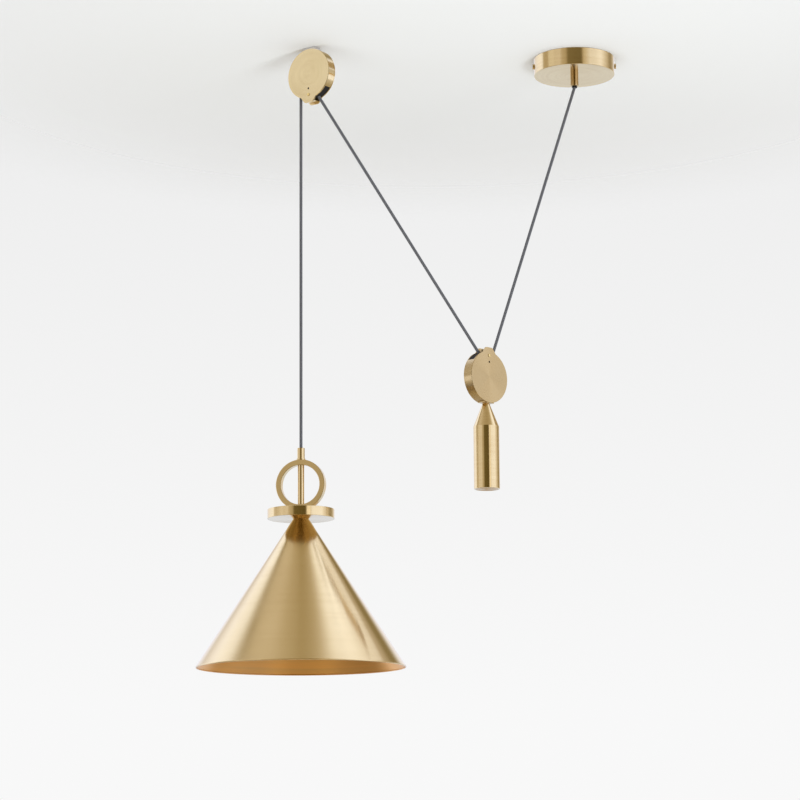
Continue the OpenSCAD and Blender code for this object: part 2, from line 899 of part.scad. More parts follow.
module ceiling_pulley_cover() {
    color(brass)
        at_ceiling_pulley()
            housing_cover(foot_in + foot_screw_up);
}

module ceiling_pulley_wheel() {
    color(black)
        at_ceiling_pulley()
            wheel();
}

module ceiling_pulley_axle() {
    color(steel)
        at_ceiling_pulley()
            axle();
}

module drop_guide() {
    color(black)
        difference() {
            at_ceiling_pulley()
                guide_blank(-1);
            between([drop_xy[0], drop_xy[1], ceiling_centre[2]], drop_end, 2 * channel_r);
        }
}

module slant_guide() {
    color(black)
        difference() {
            at_ceiling_pulley()
                guide_blank(1);
            cord_way(point_a, start_a, in_a, slant_dir, end_a, end_a + slant_dir * housing_r);
        }
}

// clearance way for the cord: straight in, bend, straight out
module cord_way(p, s, u, v, e, q) {
    between(p, s, 2 * channel_r, 0, lap);
    bend(s, u, v, bend_r, 2 * channel_r);
    between(e, q, 2 * channel_r, lap, 0);
}

module ceiling_pulley_lug_block() {
    color(brass)
        at_ceiling_pulley()
            lug_block();
}

module ceiling_pulley_lug_screw() {
    color(brass)
        at_ceiling_pulley()
            lug_screw();
}

module ceiling_friction_screw() {
    color(steel)
        at_ceiling_pulley()
            friction_screw();
}

module ceiling_foot() {
    color(steel)
        at_ceiling_pulley()
            difference() {
                cheek_block(foot_w, foot_in, housing_r + foot_gap);
                translate([0, 0, foot_in - over])
                    cylinder(h = housing_r, d = foot_hole_d);
                screw_holes(foot_in + foot_screw_up);
            }
}

module ceiling_foot_screws() {
    color(brass)
        at_ceiling_pulley()
            block_screws(foot_in + foot_screw_up);
}

// ---- counterweight ----
module upside_down() {
    at_weight_pulley()
        mirror([0, 0, 1])
            children();
}

module weight_pulley_cup() {
    color(brass)
        upside_down()
            housing_cup(yoke_w, yoke_in);
}

module weight_pulley_cover() {
    color(brass)
        upside_down()
            housing_cover(yoke_in + foot_screw_up);
}

module weight_pulley_wheel() {
    color(black)
        at_weight_pulley()
            wheel();
}

module weight_pulley_axle() {
    color(steel)
        at_weight_pulley()
            axle();
}

module weight_slant_guide() {
    color(black)
        difference() {
            upside_down()
                guide_blank(-1);
            cord_way(point_b, start_b, in_b, -slant_dir, end_b, end_b - slant_dir * housing_r);
        }
}

module weight_riser_guide() {
    color(black)
        difference() {
            upside_down()
                guide_blank(1);
            cord_way(point_c, start_c, in_c, riser_dir, end_c, end_c + riser_dir * housing_r);
        }
}

module weight_pulley_lug_block() {
    color(brass)
        upside_down()
            lug_block();
}

module weight_pulley_lug_screw() {
    color(brass)
        upside_down()
            lug_screw();
}

module weight_friction_screw() {
    color(steel)
        upside_down()
            friction_screw();
}

module weight_yoke() {
    color(brass)
        difference() {
            upside_down()
                difference() {
                    cheek_block(yoke_w, yoke_in, housing_r);
                    screw_holes(yoke_in + foot_screw_up);
                }
            at_weight_pulley()
                translate([0, 0, -housing_r - over])
                    cylinder(h = housing_r - yoke_in + 2 * over, d = stud_d);
        }
}

module weight_yoke_screws() {
    color(brass)
        upside_down()
            block_screws(yoke_in + foot_screw_up);
}

module weight_stud() {
    color(steel)
        at_weight_pulley()
            translate([0, 0, -housing_r - neck_h - stud_in])
                cylinder(h = stud_in + neck_h + housing_r - yoke_in, d = stud_d);
}

module weight_shell() {
    color(brass)
        at_weight_pulley()
            difference() {
                rotate_extrude($fn = fine)
                    polygon([
                        [0, weight_top],
                        [neck_d / 2, weight_top],
                        [neck_d / 2, weight_top - neck_h],
                        [weight_d / 2, cone_end],
                        [weight_d / 2, weight_bottom + weight_edge],
                        [weight_d / 2 - weight_edge, weight_bottom],
                        [bore_r, weight_bottom],
                        [bore_r, cone_end],
                        [0, cone_end]
                    ]);
                translate([0, 0, weight_top - neck_h - stud_in])
                    cylinder(h = stud_in + neck_h + over, d = stud_d);
            }
}

module weight_ballast() {
    color(iron)
        at_weight_pulley()
            translate([0, 0, weight_bottom + plug_t])
                cylinder(h = cone_end - weight_bottom - plug_t - ballast_gap, r = bore_r);
}

module weight_plug() {
    color(brass)
        at_weight_pulley()
            translate([0, 0, weight_bottom])
                cylinder(h = plug_t, r = bore_r);
}

// ---- lamp head ----
module lamp_collar() {
    color(brass)
        at_lamp()
            difference() {
                union() {
                    translate([0, 0, -collar_h])
                        cylinder(h = collar_h, d = collar_d);
                    translate([0, 0, -collar_h])
                        cylinder(h = collar_flange_h, d = collar_flange_d);
                }
                translate([0, 0, -collar_h - over])
                    cylinder(h = collar_h - collar_cord_h + over, d = tube_d);
                translate([0, 0, -collar_h])
                    cylinder(h = collar_h + over, r = channel_r);
            }
}

module lamp_ring() {
    color(brass)
        at_lamp()
            translate([0, 0, ring_z])
                rotate([0, 0, -ring_turn])
                    difference() {
                        bar_y(0, 0, -ring_depth / 2, ring_depth / 2, ring_d, $fn = fine);
                        bar_y(0, 0, -ring_depth, ring_depth, 2 * ring_in_r, $fn = fine);
                        translate([0, 0, -ring_r - over])
                            cylinder(h = 2 * (ring_r + over), d = tube_d);
                        for (z = [ring_seat, -ring_seat - ring_wall]) {
                            translate([-collar_flange_d, -ring_depth, z])
                                cube([2 * collar_flange_d, 2 * ring_depth, ring_wall]);
                        }
                    }
}

module rod_sleeve() {
    color(brass)
        at_lamp()
            tube_z(
                ring_z + sleeve_half,
                ring_z - sleeve_half,
                sleeve_d,
                tube_d + 2 * sleeve_gap
            );
}

module threaded_tube() {
    color(steel)
        at_lamp()
            tube_z(tube_top, tube_bottom, tube_d, tube_bore);
}

module plate_shell() {
    color(brass)
        at_lamp()
            rotate_extrude($fn = fine)
                polygon([
                    [tube_d / 2, plate_top],
                    [plate_d / 2 - plate_edge, plate_top],
                    [plate_d / 2, plate_top - plate_edge],
                    [plate_d / 2, plate_bottom + plate_edge],
                    [plate_d / 2 - plate_edge, plate_bottom],
                    [plate_d / 2 - plate_wall, plate_bottom],
                    [plate_d / 2 - plate_wall, plate_top - plate_wall],
                    [tube_d / 2, plate_top - plate_wall]
                ]);
}

// polished underside with a boss that spaces it from the top of the plate
module plate_base() {
    color(brass)
        at_lamp()
            rotate_extrude($fn = fine)
                polygon([
                    [tube_d / 2, plate_bottom],
                    [plate_base_r, plate_bottom],
                    [plate_base_r, plate_bottom + plate_base_t],
                    [plate_boss_d / 2, plate_bottom + plate_base_t],
                    [plate_boss_d / 2, plate_top - plate_wall],
                    [tube_d / 2, plate_top - plate_wall]
                ]);
}

module shade() {
    color(copper_gold)
        at_lamp()
            union() {
                rotate_extrude($fn = fine)
                    polygon([
                        [tube_d / 2, plate_bottom],
                        [shade_top_d / 2, plate_bottom],
                        [shade_d / 2, plate_bottom - shade_h],
                        [shade_d / 2 - shade_wall, plate_bottom - shade_h],
                        [shade_top_d / 2 - shade_wall + shade_slope * shade_top_t, shade_under],
                        [tube_d / 2, shade_under]
                    ]);
                translate([0, 0, plate_bottom - shade_h])
                    rotate_extrude($fn = fine)
                        translate([shade_d / 2 - shade_wall / 2, 0])
                            circle(r = lip_r, $fn = 32);
            }
}

module shade_nut() {
    color(steel)
        at_lamp()
            hex_nut(shade_under, shade_nut_h, shade_nut_flats, tube_d);
}

// ---- lampholder ----
module holder_cap() {
    color(black)
        at_lamp()
            rotate_extrude($fn = fine)
                polygon([
                    [tube_d / 2, holder_top],
                    [holder_cap_top_d / 2, holder_top],
                    [holder_d / 2, holder_top - holder_cap_slope],
                    [holder_d / 2, body_top],
                    [holder_d / 2 - holder_wall, body_top],
                    [holder_d / 2 - holder_wall, holder_top - holder_cap_slope],
                    [holder_cap_top_d / 2, holder_top - holder_wall],
                    [tube_d / 2, holder_top - holder_wall]
                ]);
}

module holder_body() {
    color(black)
        at_lamp()
            rotate_extrude($fn = fine)
                polygon([
                    [insert_d / 2, body_top],
                    [holder_d / 2, body_top],
                    [holder_d / 2, body_bottom + holder_edge],
                    [holder_d / 2 - holder_edge, body_bottom],
                    [socket_d / 2 + socket_wall, body_bottom],
                    [socket_d / 2 + socket_wall, insert_bottom],
                    [insert_d / 2, insert_bottom]
                ]);
}

module holder_insert() {
    color(porcelain)
        at_lamp()
            translate([0, 0, insert_bottom])
                cylinder(h = insert_t, d = insert_d);
}

module holder_shell() {
    color(brass)
        at_lamp()
            tube_z(
                shell_top,
                shell_top - socket_h,
                socket_d + 2 * socket_wall,
                socket_d,
                $fn = fine
            );
}

module holder_contact() {
    color(brass)
        at_lamp()
            translate([0, 0, insert_bottom - contact_h])
                cylinder(h = contact_h, d = contact_d);
}

module holder_terminals() {
    color(brass)
        at_lamp()
            for (side = [-1, 1]) {
                translate([side * holder_way_spacing / 2, 0, insert_top])
                    cylinder(h = holder_way_h, d = holder_way_d);
            }
}

module holder_wire(side) {
    at_lamp()
        between(
            [side * core_r, 0, lamp_cord_end - wire_d / 2],
            [side * holder_way_spacing / 2, 0, insert_top + holder_way_h + wire_d / 2],
            wire_d
        );
}

module holder_live_wire() {
    color(brown)
        holder_wire(-1);
}

module holder_neutral_wire() {
    color(blue)
        holder_wire(1);
}

// ---- the cord, in the order in which it runs ----
module cord_in_canopy() {
    color(cord_grey)
        union() {
            between([0, 0, cord_up_end], start_d, cord_d, 0, lap);
            bend(start_d, -up, -riser_dir, bend_r, cord_d);
        }
}

module cord_riser() {
    color(cord_grey)
        between(end_c + riser_dir * cord_end_gap, end_d, cord_d);
}

module cord_on_weight_wheel() {
    color(cord_grey)
        union() {
            between(point_b, start_b, cord_d, lap, lap);
            bend(start_b, in_b, -slant_dir, bend_r, cord_d);
            between(point_c, start_c, cord_d, lap, lap);
            bend(start_c, in_c, riser_dir, bend_r, cord_d);
            at_weight_pulley()
                wheel_wrap(touch_b, touch_c - touch_b, cord_d);
        }
}

module cord_slant() {
    color(cord_grey)
        between(end_a, end_b - slant_dir * cord_end_gap, cord_d);
}

module cord_on_ceiling_wheel() {
    color(cord_grey)
        union() {
            between(point_a, start_a, cord_d, lap, lap);
            bend(start_a, in_a, slant_dir, bend_r, cord_d);
            between([drop_xy[0], drop_xy[1], ceiling_centre[2]], drop_start, cord_d, lap, 0);
            at_ceiling_pulley()
                wheel_wrap(touch_a, 180 - touch_a, cord_d);
        }
}

module cord_drop() {
    color(cord_grey)
        between(drop_start, drop_end + up * cord_end_gap, cord_d);
}

module cord_in_lamp() {
    color(cord_grey)
        at_lamp()
            translate([0, 0, lamp_cord_end])
                cylinder(h = -lamp_cord_end, d = cord_d);
}

canopy_cup();
ceiling_strap();
side_screws();
cord_grip();
cord_grip_nut();
cord_grip_bush();
terminal_block();
terminal_screws();
live_wire();
neutral_wire();
earth_wire();
ceiling_pulley_cup();
ceiling_pulley_cover();
ceiling_pulley_wheel();
ceiling_pulley_axle();
drop_guide();
slant_guide();
ceiling_pulley_lug_block();
ceiling_pulley_lug_screw();
ceiling_friction_screw();
ceiling_foot();
ceiling_foot_screws();
weight_pulley_cup();
weight_pulley_cover();
weight_pulley_wheel();
weight_pulley_axle();
weight_slant_guide();
weight_riser_guide();
weight_pulley_lug_block();
weight_pulley_lug_screw();
weight_friction_screw();
weight_yoke();
weight_yoke_screws();
weight_stud();
weight_shell();
weight_ballast();
weight_plug();
lamp_collar();
lamp_ring();
rod_sleeve();
threaded_tube();
plate_shell();
plate_base();
shade();
shade_nut();
holder_cap();
holder_body();
holder_insert();
holder_shell();
holder_contact();
holder_terminals();
holder_live_wire();
holder_neutral_wire();
cord_in_canopy();
cord_riser();
cord_on_weight_wheel();
cord_slant();
cord_on_ceiling_wheel();
cord_drop();
cord_in_lamp();
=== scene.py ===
import math

import bmesh
import bpy
from mathutils import Matrix, Vector


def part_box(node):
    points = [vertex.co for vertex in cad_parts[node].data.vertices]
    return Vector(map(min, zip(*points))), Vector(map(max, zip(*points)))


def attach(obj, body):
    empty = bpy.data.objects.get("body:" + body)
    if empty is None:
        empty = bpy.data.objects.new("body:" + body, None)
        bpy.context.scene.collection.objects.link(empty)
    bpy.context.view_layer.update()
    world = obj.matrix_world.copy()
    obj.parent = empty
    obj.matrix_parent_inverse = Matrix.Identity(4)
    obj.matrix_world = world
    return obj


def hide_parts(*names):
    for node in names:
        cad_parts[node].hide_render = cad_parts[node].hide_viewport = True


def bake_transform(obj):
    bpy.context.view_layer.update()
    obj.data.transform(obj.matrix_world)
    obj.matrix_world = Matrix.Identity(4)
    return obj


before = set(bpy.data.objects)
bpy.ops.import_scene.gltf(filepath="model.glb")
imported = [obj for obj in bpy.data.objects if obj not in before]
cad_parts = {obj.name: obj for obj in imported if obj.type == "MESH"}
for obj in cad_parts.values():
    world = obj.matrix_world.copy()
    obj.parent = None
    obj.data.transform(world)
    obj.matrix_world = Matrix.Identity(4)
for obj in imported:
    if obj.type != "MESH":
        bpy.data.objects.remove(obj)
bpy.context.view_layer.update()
mm = 0.001
fullTurn = 2 * math.pi


def centreOf(node):
    low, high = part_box(node)
    return (Vector(low) + Vector(high)) / 2


ceilingHub = centreOf("ceiling_pulley_axle")
weightHub = centreOf("weight_pulley_axle")
lampAxis = centreOf("threaded_tube")
ceilingTurn = math.radians(-35.8)  # turns of the two pulleys and the ring about the vertical
weightTurn = math.radians(44.8)
ringTurn = math.radians(-14)
ringHeight = -0.650617
print("frame loaded,", len(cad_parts), "nodes")


def linkedObject(name, data):
    made = bpy.data.objects.new(name, data)
    bpy.context.scene.collection.objects.link(made)
    return made


# camera, from below and in front
photoView = {
    "place": (-0.26526, -3.75824, -1.19452),
    "pitch": 10.2,  # degrees up
    "roll": 0.4,
    "lens": 117,
    "sensor": 36,
    "clip": (0.1, 60),
}


def makeCamera(values):
    data = bpy.data.cameras.new("studioCamera")
    data.lens = values["lens"]
    data.sensor_width = values["sensor"]
    data.clip_start, data.clip_end = values["clip"]
    camera = linkedObject("studioCamera", data)
    pitched = Matrix.Rotation(math.radians(90 + values["pitch"]), 4, "X")
    rolled = Matrix.Rotation(math.radians(-values["roll"]), 4, "Z")
    camera.matrix_world = Matrix.Translation(values["place"]) @ pitched @ rolled
    bpy.context.scene.camera = camera


makeCamera(photoView)


# helpers for node trees; a socket's id_data is the tree that it is in
def feed(socket, value):
    if isinstance(value, bpy.types.NodeSocket):
        socket.id_data.links.new(value, socket)
    elif value is not None:
        socket.default_value = value


def addNode(tree, kind, sockets=None, **settings):
    node = tree.nodes.new(kind)
    for name, value in settings.items():
        setattr(node, name, value)
    for key, value in (sockets or {}).items():
        feed(node.inputs[key], value)
    return node


def treeOf(values):
    return next(value.id_data for value in values if isinstance(value, bpy.types.NodeSocket))


# adds a node beside the sockets that feed it, and gives its first output
def through(kind, sockets, **settings):
    return addNode(treeOf(sockets.values()), kind, sockets, **settings).outputs[0]


def calc(operation, *values):
    return through("ShaderNodeMath", dict(enumerate(values)), operation=operation)


def add(total, *values):
    for value in values:
        total = calc("ADD", total, value)
    return total


def multiply(product, *values):
    for value in values:
        product = calc("MULTIPLY", product, value)
    return product


def subtract(first, second):
    return calc("SUBTRACT", first, second)


def divide(first, second):
    return calc("DIVIDE", first, second)


def vectorCalc(operation, first, second):
    return through("ShaderNodeVectorMath", {0: first, 1: second}, operation=operation)


def vectorOf(*values):
    return through("ShaderNodeCombineXYZ", dict(enumerate(values)))


def split(vector):
    return addNode(vector.id_data, "ShaderNodeSeparateXYZ", {0: vector}).outputs


def spread(value, low, high, toLow=0.0, toHigh=1.0, smooth=False):
    kind = "SMOOTHSTEP" if smooth else "LINEAR"
    sockets = dict(enumerate((value, low, high, toLow, toHigh)))
    return through("ShaderNodeMapRange", sockets, interpolation_type=kind)


def blendColour(share, first, second):
    first, second = ((*c, 1) if isinstance(c, tuple) else c for c in (first, second))
    node = addNode(share.id_data, "ShaderNodeMix", {0: share}, data_type="RGBA")
    feed(node.inputs[6], first)
    feed(node.inputs[7], second)
    return node.outputs[2]


def noise(vector, scale, detail, **more):
    sockets = {"Vector": vector, "Scale": scale, "Detail": detail, **more}
    return through("ShaderNodeTexNoise", sockets, noise_dimensions="4D" if "W" in more else "3D")


# a node group; an input is given as its own value, or as a word for its kind
def newTree(kind, name, inputs, outputs):
    kinds = {float: "Float", int: "Int", tuple: "Vector"}
    tree = bpy.data.node_groups.new(name, kind)
    for label, value in inputs.items():
        word = value if isinstance(value, str) else kinds[type(value)]
        socket = tree.interface.new_socket(label, in_out="INPUT", socket_type="NodeSocket" + word)
        if value is not word:
            socket.default_value = value
    for label, word in outputs.items():
        tree.interface.new_socket(label, in_out="OUTPUT", socket_type="NodeSocket" + word)
    return tree, addNode(tree, "NodeGroupInput").outputs, addNode(tree, "NodeGroupOutput").inputs


def newGroup(name, inputs, *outputs):
    return newTree("ShaderNodeTree", name, inputs, dict.fromkeys(outputs, "Float"))


def placeGroup(tree, group, **values):
    return addNode(tree, "ShaderNodeGroup", values, node_tree=group).outputs


# surface effects that the materials share
# fine lines left by turning on a lathe; Z of the given vector is the turning axis
def makeTurnedGrain():
    inputs = {"Vector": "Vector", "Lines": 2500.0, "Breakup": 0.7}
    tree, given, out = newGroup("turnedGrain", inputs, "Grain", "Bands")
    x, y, z = split(given["Vector"])
    radius = calc("SQRT", add(multiply(x, x), multiply(y, y)))
    angle = calc("ARCTAN2", y, x)
    for label, lineShare in (("Grain", 1.0), ("Bands", 0.12)):
        lines = multiply(given["Lines"], lineShare)
        around = multiply(calc("COSINE", angle), given["Breakup"])
        sideways = multiply(calc("SINE", angle), given["Breakup"])
        place = vectorOf(multiply(radius, lines), multiply(z, lines), around)
        feed(out[label], noise(place, 1.0, 3.0, W=sideways))
    return tree


# brighter, smoother metal along the edges: rubbed wear, and partly a painted highlight where the edges catch
# the light
def makeEdgeWear():
    inputs = {"Vector": "Vector", "Amount": 0.6, "Patches": 120.0}
    tree, given, out = newGroup("edgeWear", inputs, "Mask")
    edge = addNode(tree, "ShaderNodeAttribute", attribute_name="edgeMask").outputs["Fac"]
    wornAndHighlight = spread(noise(given["Vector"], given["Patches"], 4.0), 0.35, 0.65)
    feed(out["Mask"], multiply(edge, wornAndHighlight, given["Amount"]))
    return tree


# soft clouds of handling marks and a few tiny darker specks
def makeHandling():
    inputs = {"Vector": "Vector", "Size": 9.0, "Specks": 420.0}
    tree, given, out = newGroup("handling", inputs, "Clouds", "Specks")
    cloud = noise(given["Vector"], given["Size"], 5.0, Distortion=0.6)
    feed(out["Clouds"], spread(cloud, 0.3, 0.7, smooth=True))
    dots = addNode(tree, "ShaderNodeTexVoronoi", {"Vector": given["Vector"], "Scale": given["Specks"]})
    near = spread(dots.outputs["Distance"], 0.06, 0.16, 1.0, 0.0)
    feed(out["Specks"], multiply(near, spread(cloud, 0.56, 0.62)))
    return tree


# fine moulded texture for plastic, rubber and glaze
def makeMoulded():
    tree, given, out = newGroup("moulded", {"Vector": "Vector", "Grain": 1800.0}, "Height", "Tone")
    feed(out["Height"], noise(given["Vector"], given["Grain"], 2.0))
    feed(out["Tone"], noise(given["Vector"], multiply(given["Grain"], 0.03), 3.0))
    return tree


# diamond braid from a map whose first value runs round and second along, in metres
def makeBraid():
    inputs = {"Map": "Vector", "Strands": 12.0, "PerMetre": 620.0}
    tree, given, out = newGroup("braid", inputs, "Height", "Family", "Yarn")
    parts = split(given["Map"])
    around = multiply(parts[0], given["Strands"])
    along = multiply(parts[1], given["PerMetre"])
    ways = add(around, along), subtract(around, along)  # the two families of strands
    family = calc("PINGPONG", add(*[calc("FLOOR", way) for way in ways]), 1.0)
    ridges = [calc("ABSOLUTE", calc("SINE", multiply(way, math.pi))) for way in ways]
    over = through("ShaderNodeMix", {0: family, 2: ridges[0], 3: ridges[1]}, data_type="FLOAT")
    feed(out["Height"], calc("POWER", over, 0.6))
    feed(out["Family"], family)
    feed(out["Yarn"], noise(given["Map"], multiply(given["PerMetre"], 1.6), 3.0))
    return tree


turnedGrain = makeTurnedGrain()
edgeWear = makeEdgeWear()
handling = makeHandling()
moulded = makeMoulded()
braid = makeBraid()


def newMaterial(name):
    material = bpy.data.materials.new(name)
    material.use_nodes = True
    tree = material.node_tree
    return material, tree, tree.nodes["Principled BSDF"]


def setInputs(node, values):
    for name, value in values.items():
        feed(node.inputs[name], value)


def bumpFrom(height, strength, distance):
    return through("ShaderNodeBump", {"Height": height, "Strength": strength, "Distance": distance})


# object coordinates, brought to a piece's own middle and turned to its own axis
def placeCoordinates(tree, centre=(0, 0, 0), turn=(0, 0, 0)):
    place = addNode(tree, "ShaderNodeTexCoord").outputs["Object"]
    sockets = {"Vector": place, "Location": tuple(centre), "Rotation": tuple(turn)}
    return through("ShaderNodeMapping", sockets, vector_type="TEXTURE")


# direction in which a piece was turned on the lathe, square to its axis
def aroundAxis(tree, centre, turn):
    axis = Matrix.Rotation(turn[2], 3, "Z") @ Matrix.Rotation(turn[0], 3, "X") @ Vector((0, 0, 1))
    return vectorCalc("CROSS_PRODUCT", tuple(axis), placeCoordinates(tree, centre))


# what the finishes share; a user changes colours and gloss here
finish = {
    "brass": (0.80, 0.60, 0.30),
    "brassDark": (0.66, 0.45, 0.20),
    # paler brass for the turning lines, and for the edges, where it is rubbed wear and partly a painted
    # highlight
    "brassRub": (0.88, 0.72, 0.44),
    "brassDull": (0.93, 0.90, 0.84),  # share of each colour left where it is handled
    "handled": 0.45,  # strength of the handling clouds, and below of lines, bands and specks
    "lined": 0.28,
    "banded": 0.35,
    "specked": 0.35,
    "gloss": 0.14,  # roughness of the satin brass
    "roughWith": {"clouds": 0.04, "bands": 0.04, "wornAndHighlight": 0.08},
    "stretch": 0.85,  # how much more it blurs across the turning lines than along them
    "blurTurn": 0.25,  # share of a full circle by which that blur is turned, to lie across the lines
    "lines": 0.12,  # strength of the turning lines
    "lineDepth": 0.1 * mm,
    "lacquer": (0.15, 0.12),  # weight and roughness of the coat
    "steel": (0.62, 0.62, 0.64),
    "steelDull": 0.82,
    "steelRubAndHighlight": (0.8, 0.8, 0.82),
    "steelGloss": (0.26, 0.12),  # roughness, and how much more where it is handled
    "cord": (0.075, 0.075, 0.082),
    "cordRidgeLight": (0.18, 0.18, 0.19),
    "cordCreaseShade": (0.03, 0.03, 0.033),
    "black": (0.012, 0.010, 0.009),
    "porcelain": (0.86, 0.84, 0.78),
}


# satin brass turned on a lathe, lacquered
def makeBrass(name, centre, turn=(0, 0, 0), tone=None, gloss=None, lines=1.0, bands=1.0, tangent=True):
    material, tree, shader = newMaterial(name)
    vector = placeCoordinates(tree, centre, turn)
    gloss = gloss or finish["gloss"]
    grain = placeGroup(tree, turnedGrain, Vector=vector)
    wornAndHighlight = placeGroup(tree, edgeWear, Vector=vector)["Mask"]
    marks = placeGroup(tree, handling, Vector=vector)
    colour = tone or finish["brass"]
    dull = tuple(c * d for c, d in zip(colour, finish["brassDull"]))
    for share, over in (
        (multiply(marks["Clouds"], finish["handled"]), dull),
        (multiply(grain["Grain"], finish["lined"]), finish["brassRub"]),
        (spread(grain["Bands"], 0.4, 0.75, 0.0, finish["banded"] * bands), finish["brassDark"]),
        (multiply(marks["Specks"], finish["specked"]), finish["brassDark"]),
        # edges paler: rubbed wear, and partly a painted highlight along them
        (wornAndHighlight, finish["brassRub"]),
    ):
        colour = blendColour(share, colour, over)
    roughWith = finish["roughWith"]
    rough = add(gloss - 0.03, multiply(marks["Clouds"], roughWith["clouds"]))
    rough = add(rough, multiply(grain["Bands"], roughWith["bands"]))
    height = add(grain["Grain"], multiply(grain["Bands"], 0.5 * bands))
    coat = finish["lacquer"]
    setInputs(shader, {
        "Base Color": colour,
        "Metallic": 1.0,
        "Roughness": subtract(rough, multiply(wornAndHighlight, roughWith["wornAndHighlight"])),
        "Normal": bumpFrom(height, finish["lines"] * lines, finish["lineDepth"]),
        "Coat Weight": coat[0],
        "Coat Roughness": coat[1],
    })
    if tangent:
        blur = {"Anisotropic": finish["stretch"], "Anisotropic Rotation": finish["blurTurn"]}
        setInputs(shader, {**blur, "Tangent": aroundAxis(tree, centre, turn)})
    return material


# zinc-plated or bare steel, with turned or drawn lines and a thread where asked
def makeSteel(name, centre, turn=(0, 0, 0), pitch=0.0, tone=finish["steel"]):
    material, tree, shader = newMaterial(name)
    vector = placeCoordinates(tree, centre, turn)
    grain = placeGroup(tree, turnedGrain, Vector=vector, Lines=1800.0)
    wornAndHighlight = placeGroup(tree, edgeWear, Vector=vector, Amount=0.5)
    marks = placeGroup(tree, handling, Vector=vector, Size=40.0)
    dull = tuple(c * finish["steelDull"] for c in tone)
    body = blendColour(marks["Clouds"], tone, dull)
    height = multiply(grain["Grain"], 0.15)
    if pitch:
        x, y, z = split(vector)
        turns = divide(calc("ARCTAN2", y, x), fullTurn)
        thread = calc("PINGPONG", subtract(divide(z, pitch), turns), 0.5)
        height = add(height, multiply(thread, 2.0))
    rough, more = finish["steelGloss"]
    setInputs(shader, {
        # edges paler: rubbed wear, and partly a painted highlight
        "Base Color": blendColour(wornAndHighlight["Mask"], body, finish["steelRubAndHighlight"]),
        "Metallic": 1.0,
        "Roughness": add(rough, multiply(marks["Clouds"], more)),
        "Normal": bumpFrom(height, 0.6 if pitch else 0.15, (0.4 if pitch else 0.1) * mm),
    })
    return material


# plastic, rubber, porcelain or wire insulation
def makeMoulding(name, tone, gloss=0.4, grain=1800.0, rough=0.12, coat=0.0, shine=0.5):
    material, tree, shader = newMaterial(name)
    vector = placeCoordinates(tree)
    skin = placeGroup(tree, moulded, Vector=vector, Grain=grain)
    wornAndHighlight = placeGroup(tree, edgeWear, Vector=vector, Amount=0.35, Patches=200.0)
    light = tuple(min(1.0, c * 1.12 + 0.004) for c in tone)
    rubbedAndHighlight = tuple(min(1.0, c * 1.5 + 0.02) for c in tone)
    body = blendColour(skin["Tone"], tone, light)
    setInputs(shader, {
        # edges paler: rubbed wear, and partly a painted highlight
        "Base Color": blendColour(wornAndHighlight["Mask"], body, rubbedAndHighlight),
        "Roughness": add(gloss - rough / 2, multiply(skin["Tone"], rough)),
        "Normal": bumpFrom(skin["Height"], 0.25, 0.08 * mm),
        "Coat Weight": coat,
        "Specular IOR Level": shine,
    })
    return material


# textile-braided flex
def makeCordCloth():
    material, tree, shader = newMaterial("cordCloth")
    mapped = addNode(tree, "ShaderNodeUVMap", uv_map="turnedMap").outputs[0]
    weave = placeGroup(tree, braid, Map=mapped)
    # darker down between the strands and lighter on their tops: painted shade and painted light on the braid
    shade = multiply(weave["Height"], spread(weave["Yarn"], 0.3, 0.7, 0.6, 1.0))
    colour = blendColour(shade, finish["cordCreaseShade"], finish["cordRidgeLight"])
    height = add(weave["Height"], multiply(weave["Yarn"], 0.25))
    setInputs(shader, {
        "Base Color": blendColour(multiply(weave["Family"], 0.25), colour, finish["cord"]),
        "Roughness": spread(weave["Yarn"], 0.3, 0.7, 0.62, 0.85),
        "Sheen Weight": 0.25,
        "Sheen Roughness": 0.5,
        "Normal": bumpFrom(height, 0.6, 0.25 * mm),
    })
    return material


cordCloth = makeCordCloth()


# geometry trees
def newShapeTree(name, inputs):
    geometry = {"Geometry": "Geometry"}
    return newTree("GeometryNodeTree", name, {**geometry, **inputs}, geometry)


def closeShape(geometry, given, out, merge=0.002 * mm):
    if merge:
        geometry = through("GeometryNodeMergeByDistance", {"Geometry": geometry, "Distance": merge})
    real = through("GeometryNodeRealizeInstances", {0: geometry})
    painted = through("GeometryNodeSetMaterial", {"Geometry": real, "Material": given["Finish"]})
    feed(out[0], painted)


def store(geometry, name, value, kind, domain):
    sockets = {"Geometry": geometry, "Name": name, "Value": value}
    return through("GeometryNodeStoreNamedAttribute", sockets, data_type=kind, domain=domain)


def stored(tree, name, kind="FLOAT"):
    return addNode(tree, "GeometryNodeInputNamedAttribute", {"Name": name}, data_type=kind).outputs[0]


# grid whose rows follow a profile and whose columns go round; gives row and share of the turn too
def roundGrid(rows, segments):
    columns = add(segments, 1.0)
    mesh = through("GeometryNodeMeshGrid", {"Vertices X": rows, "Vertices Y": columns})
    index = addNode(segments.id_data, "GeometryNodeInputIndex").outputs[0]
    row = calc("FLOOR", divide(add(index, 0.25), columns))
    return mesh, row, divide(subtract(index, multiply(row, columns)), segments)


def sampleProfile(profile, row, value, kind="FLOAT"):
    sockets = {"Geometry": profile, "Value": value, "Index": row}
    return through("GeometryNodeSampleIndex", sockets, data_type=kind, domain="POINT", clamp=True)


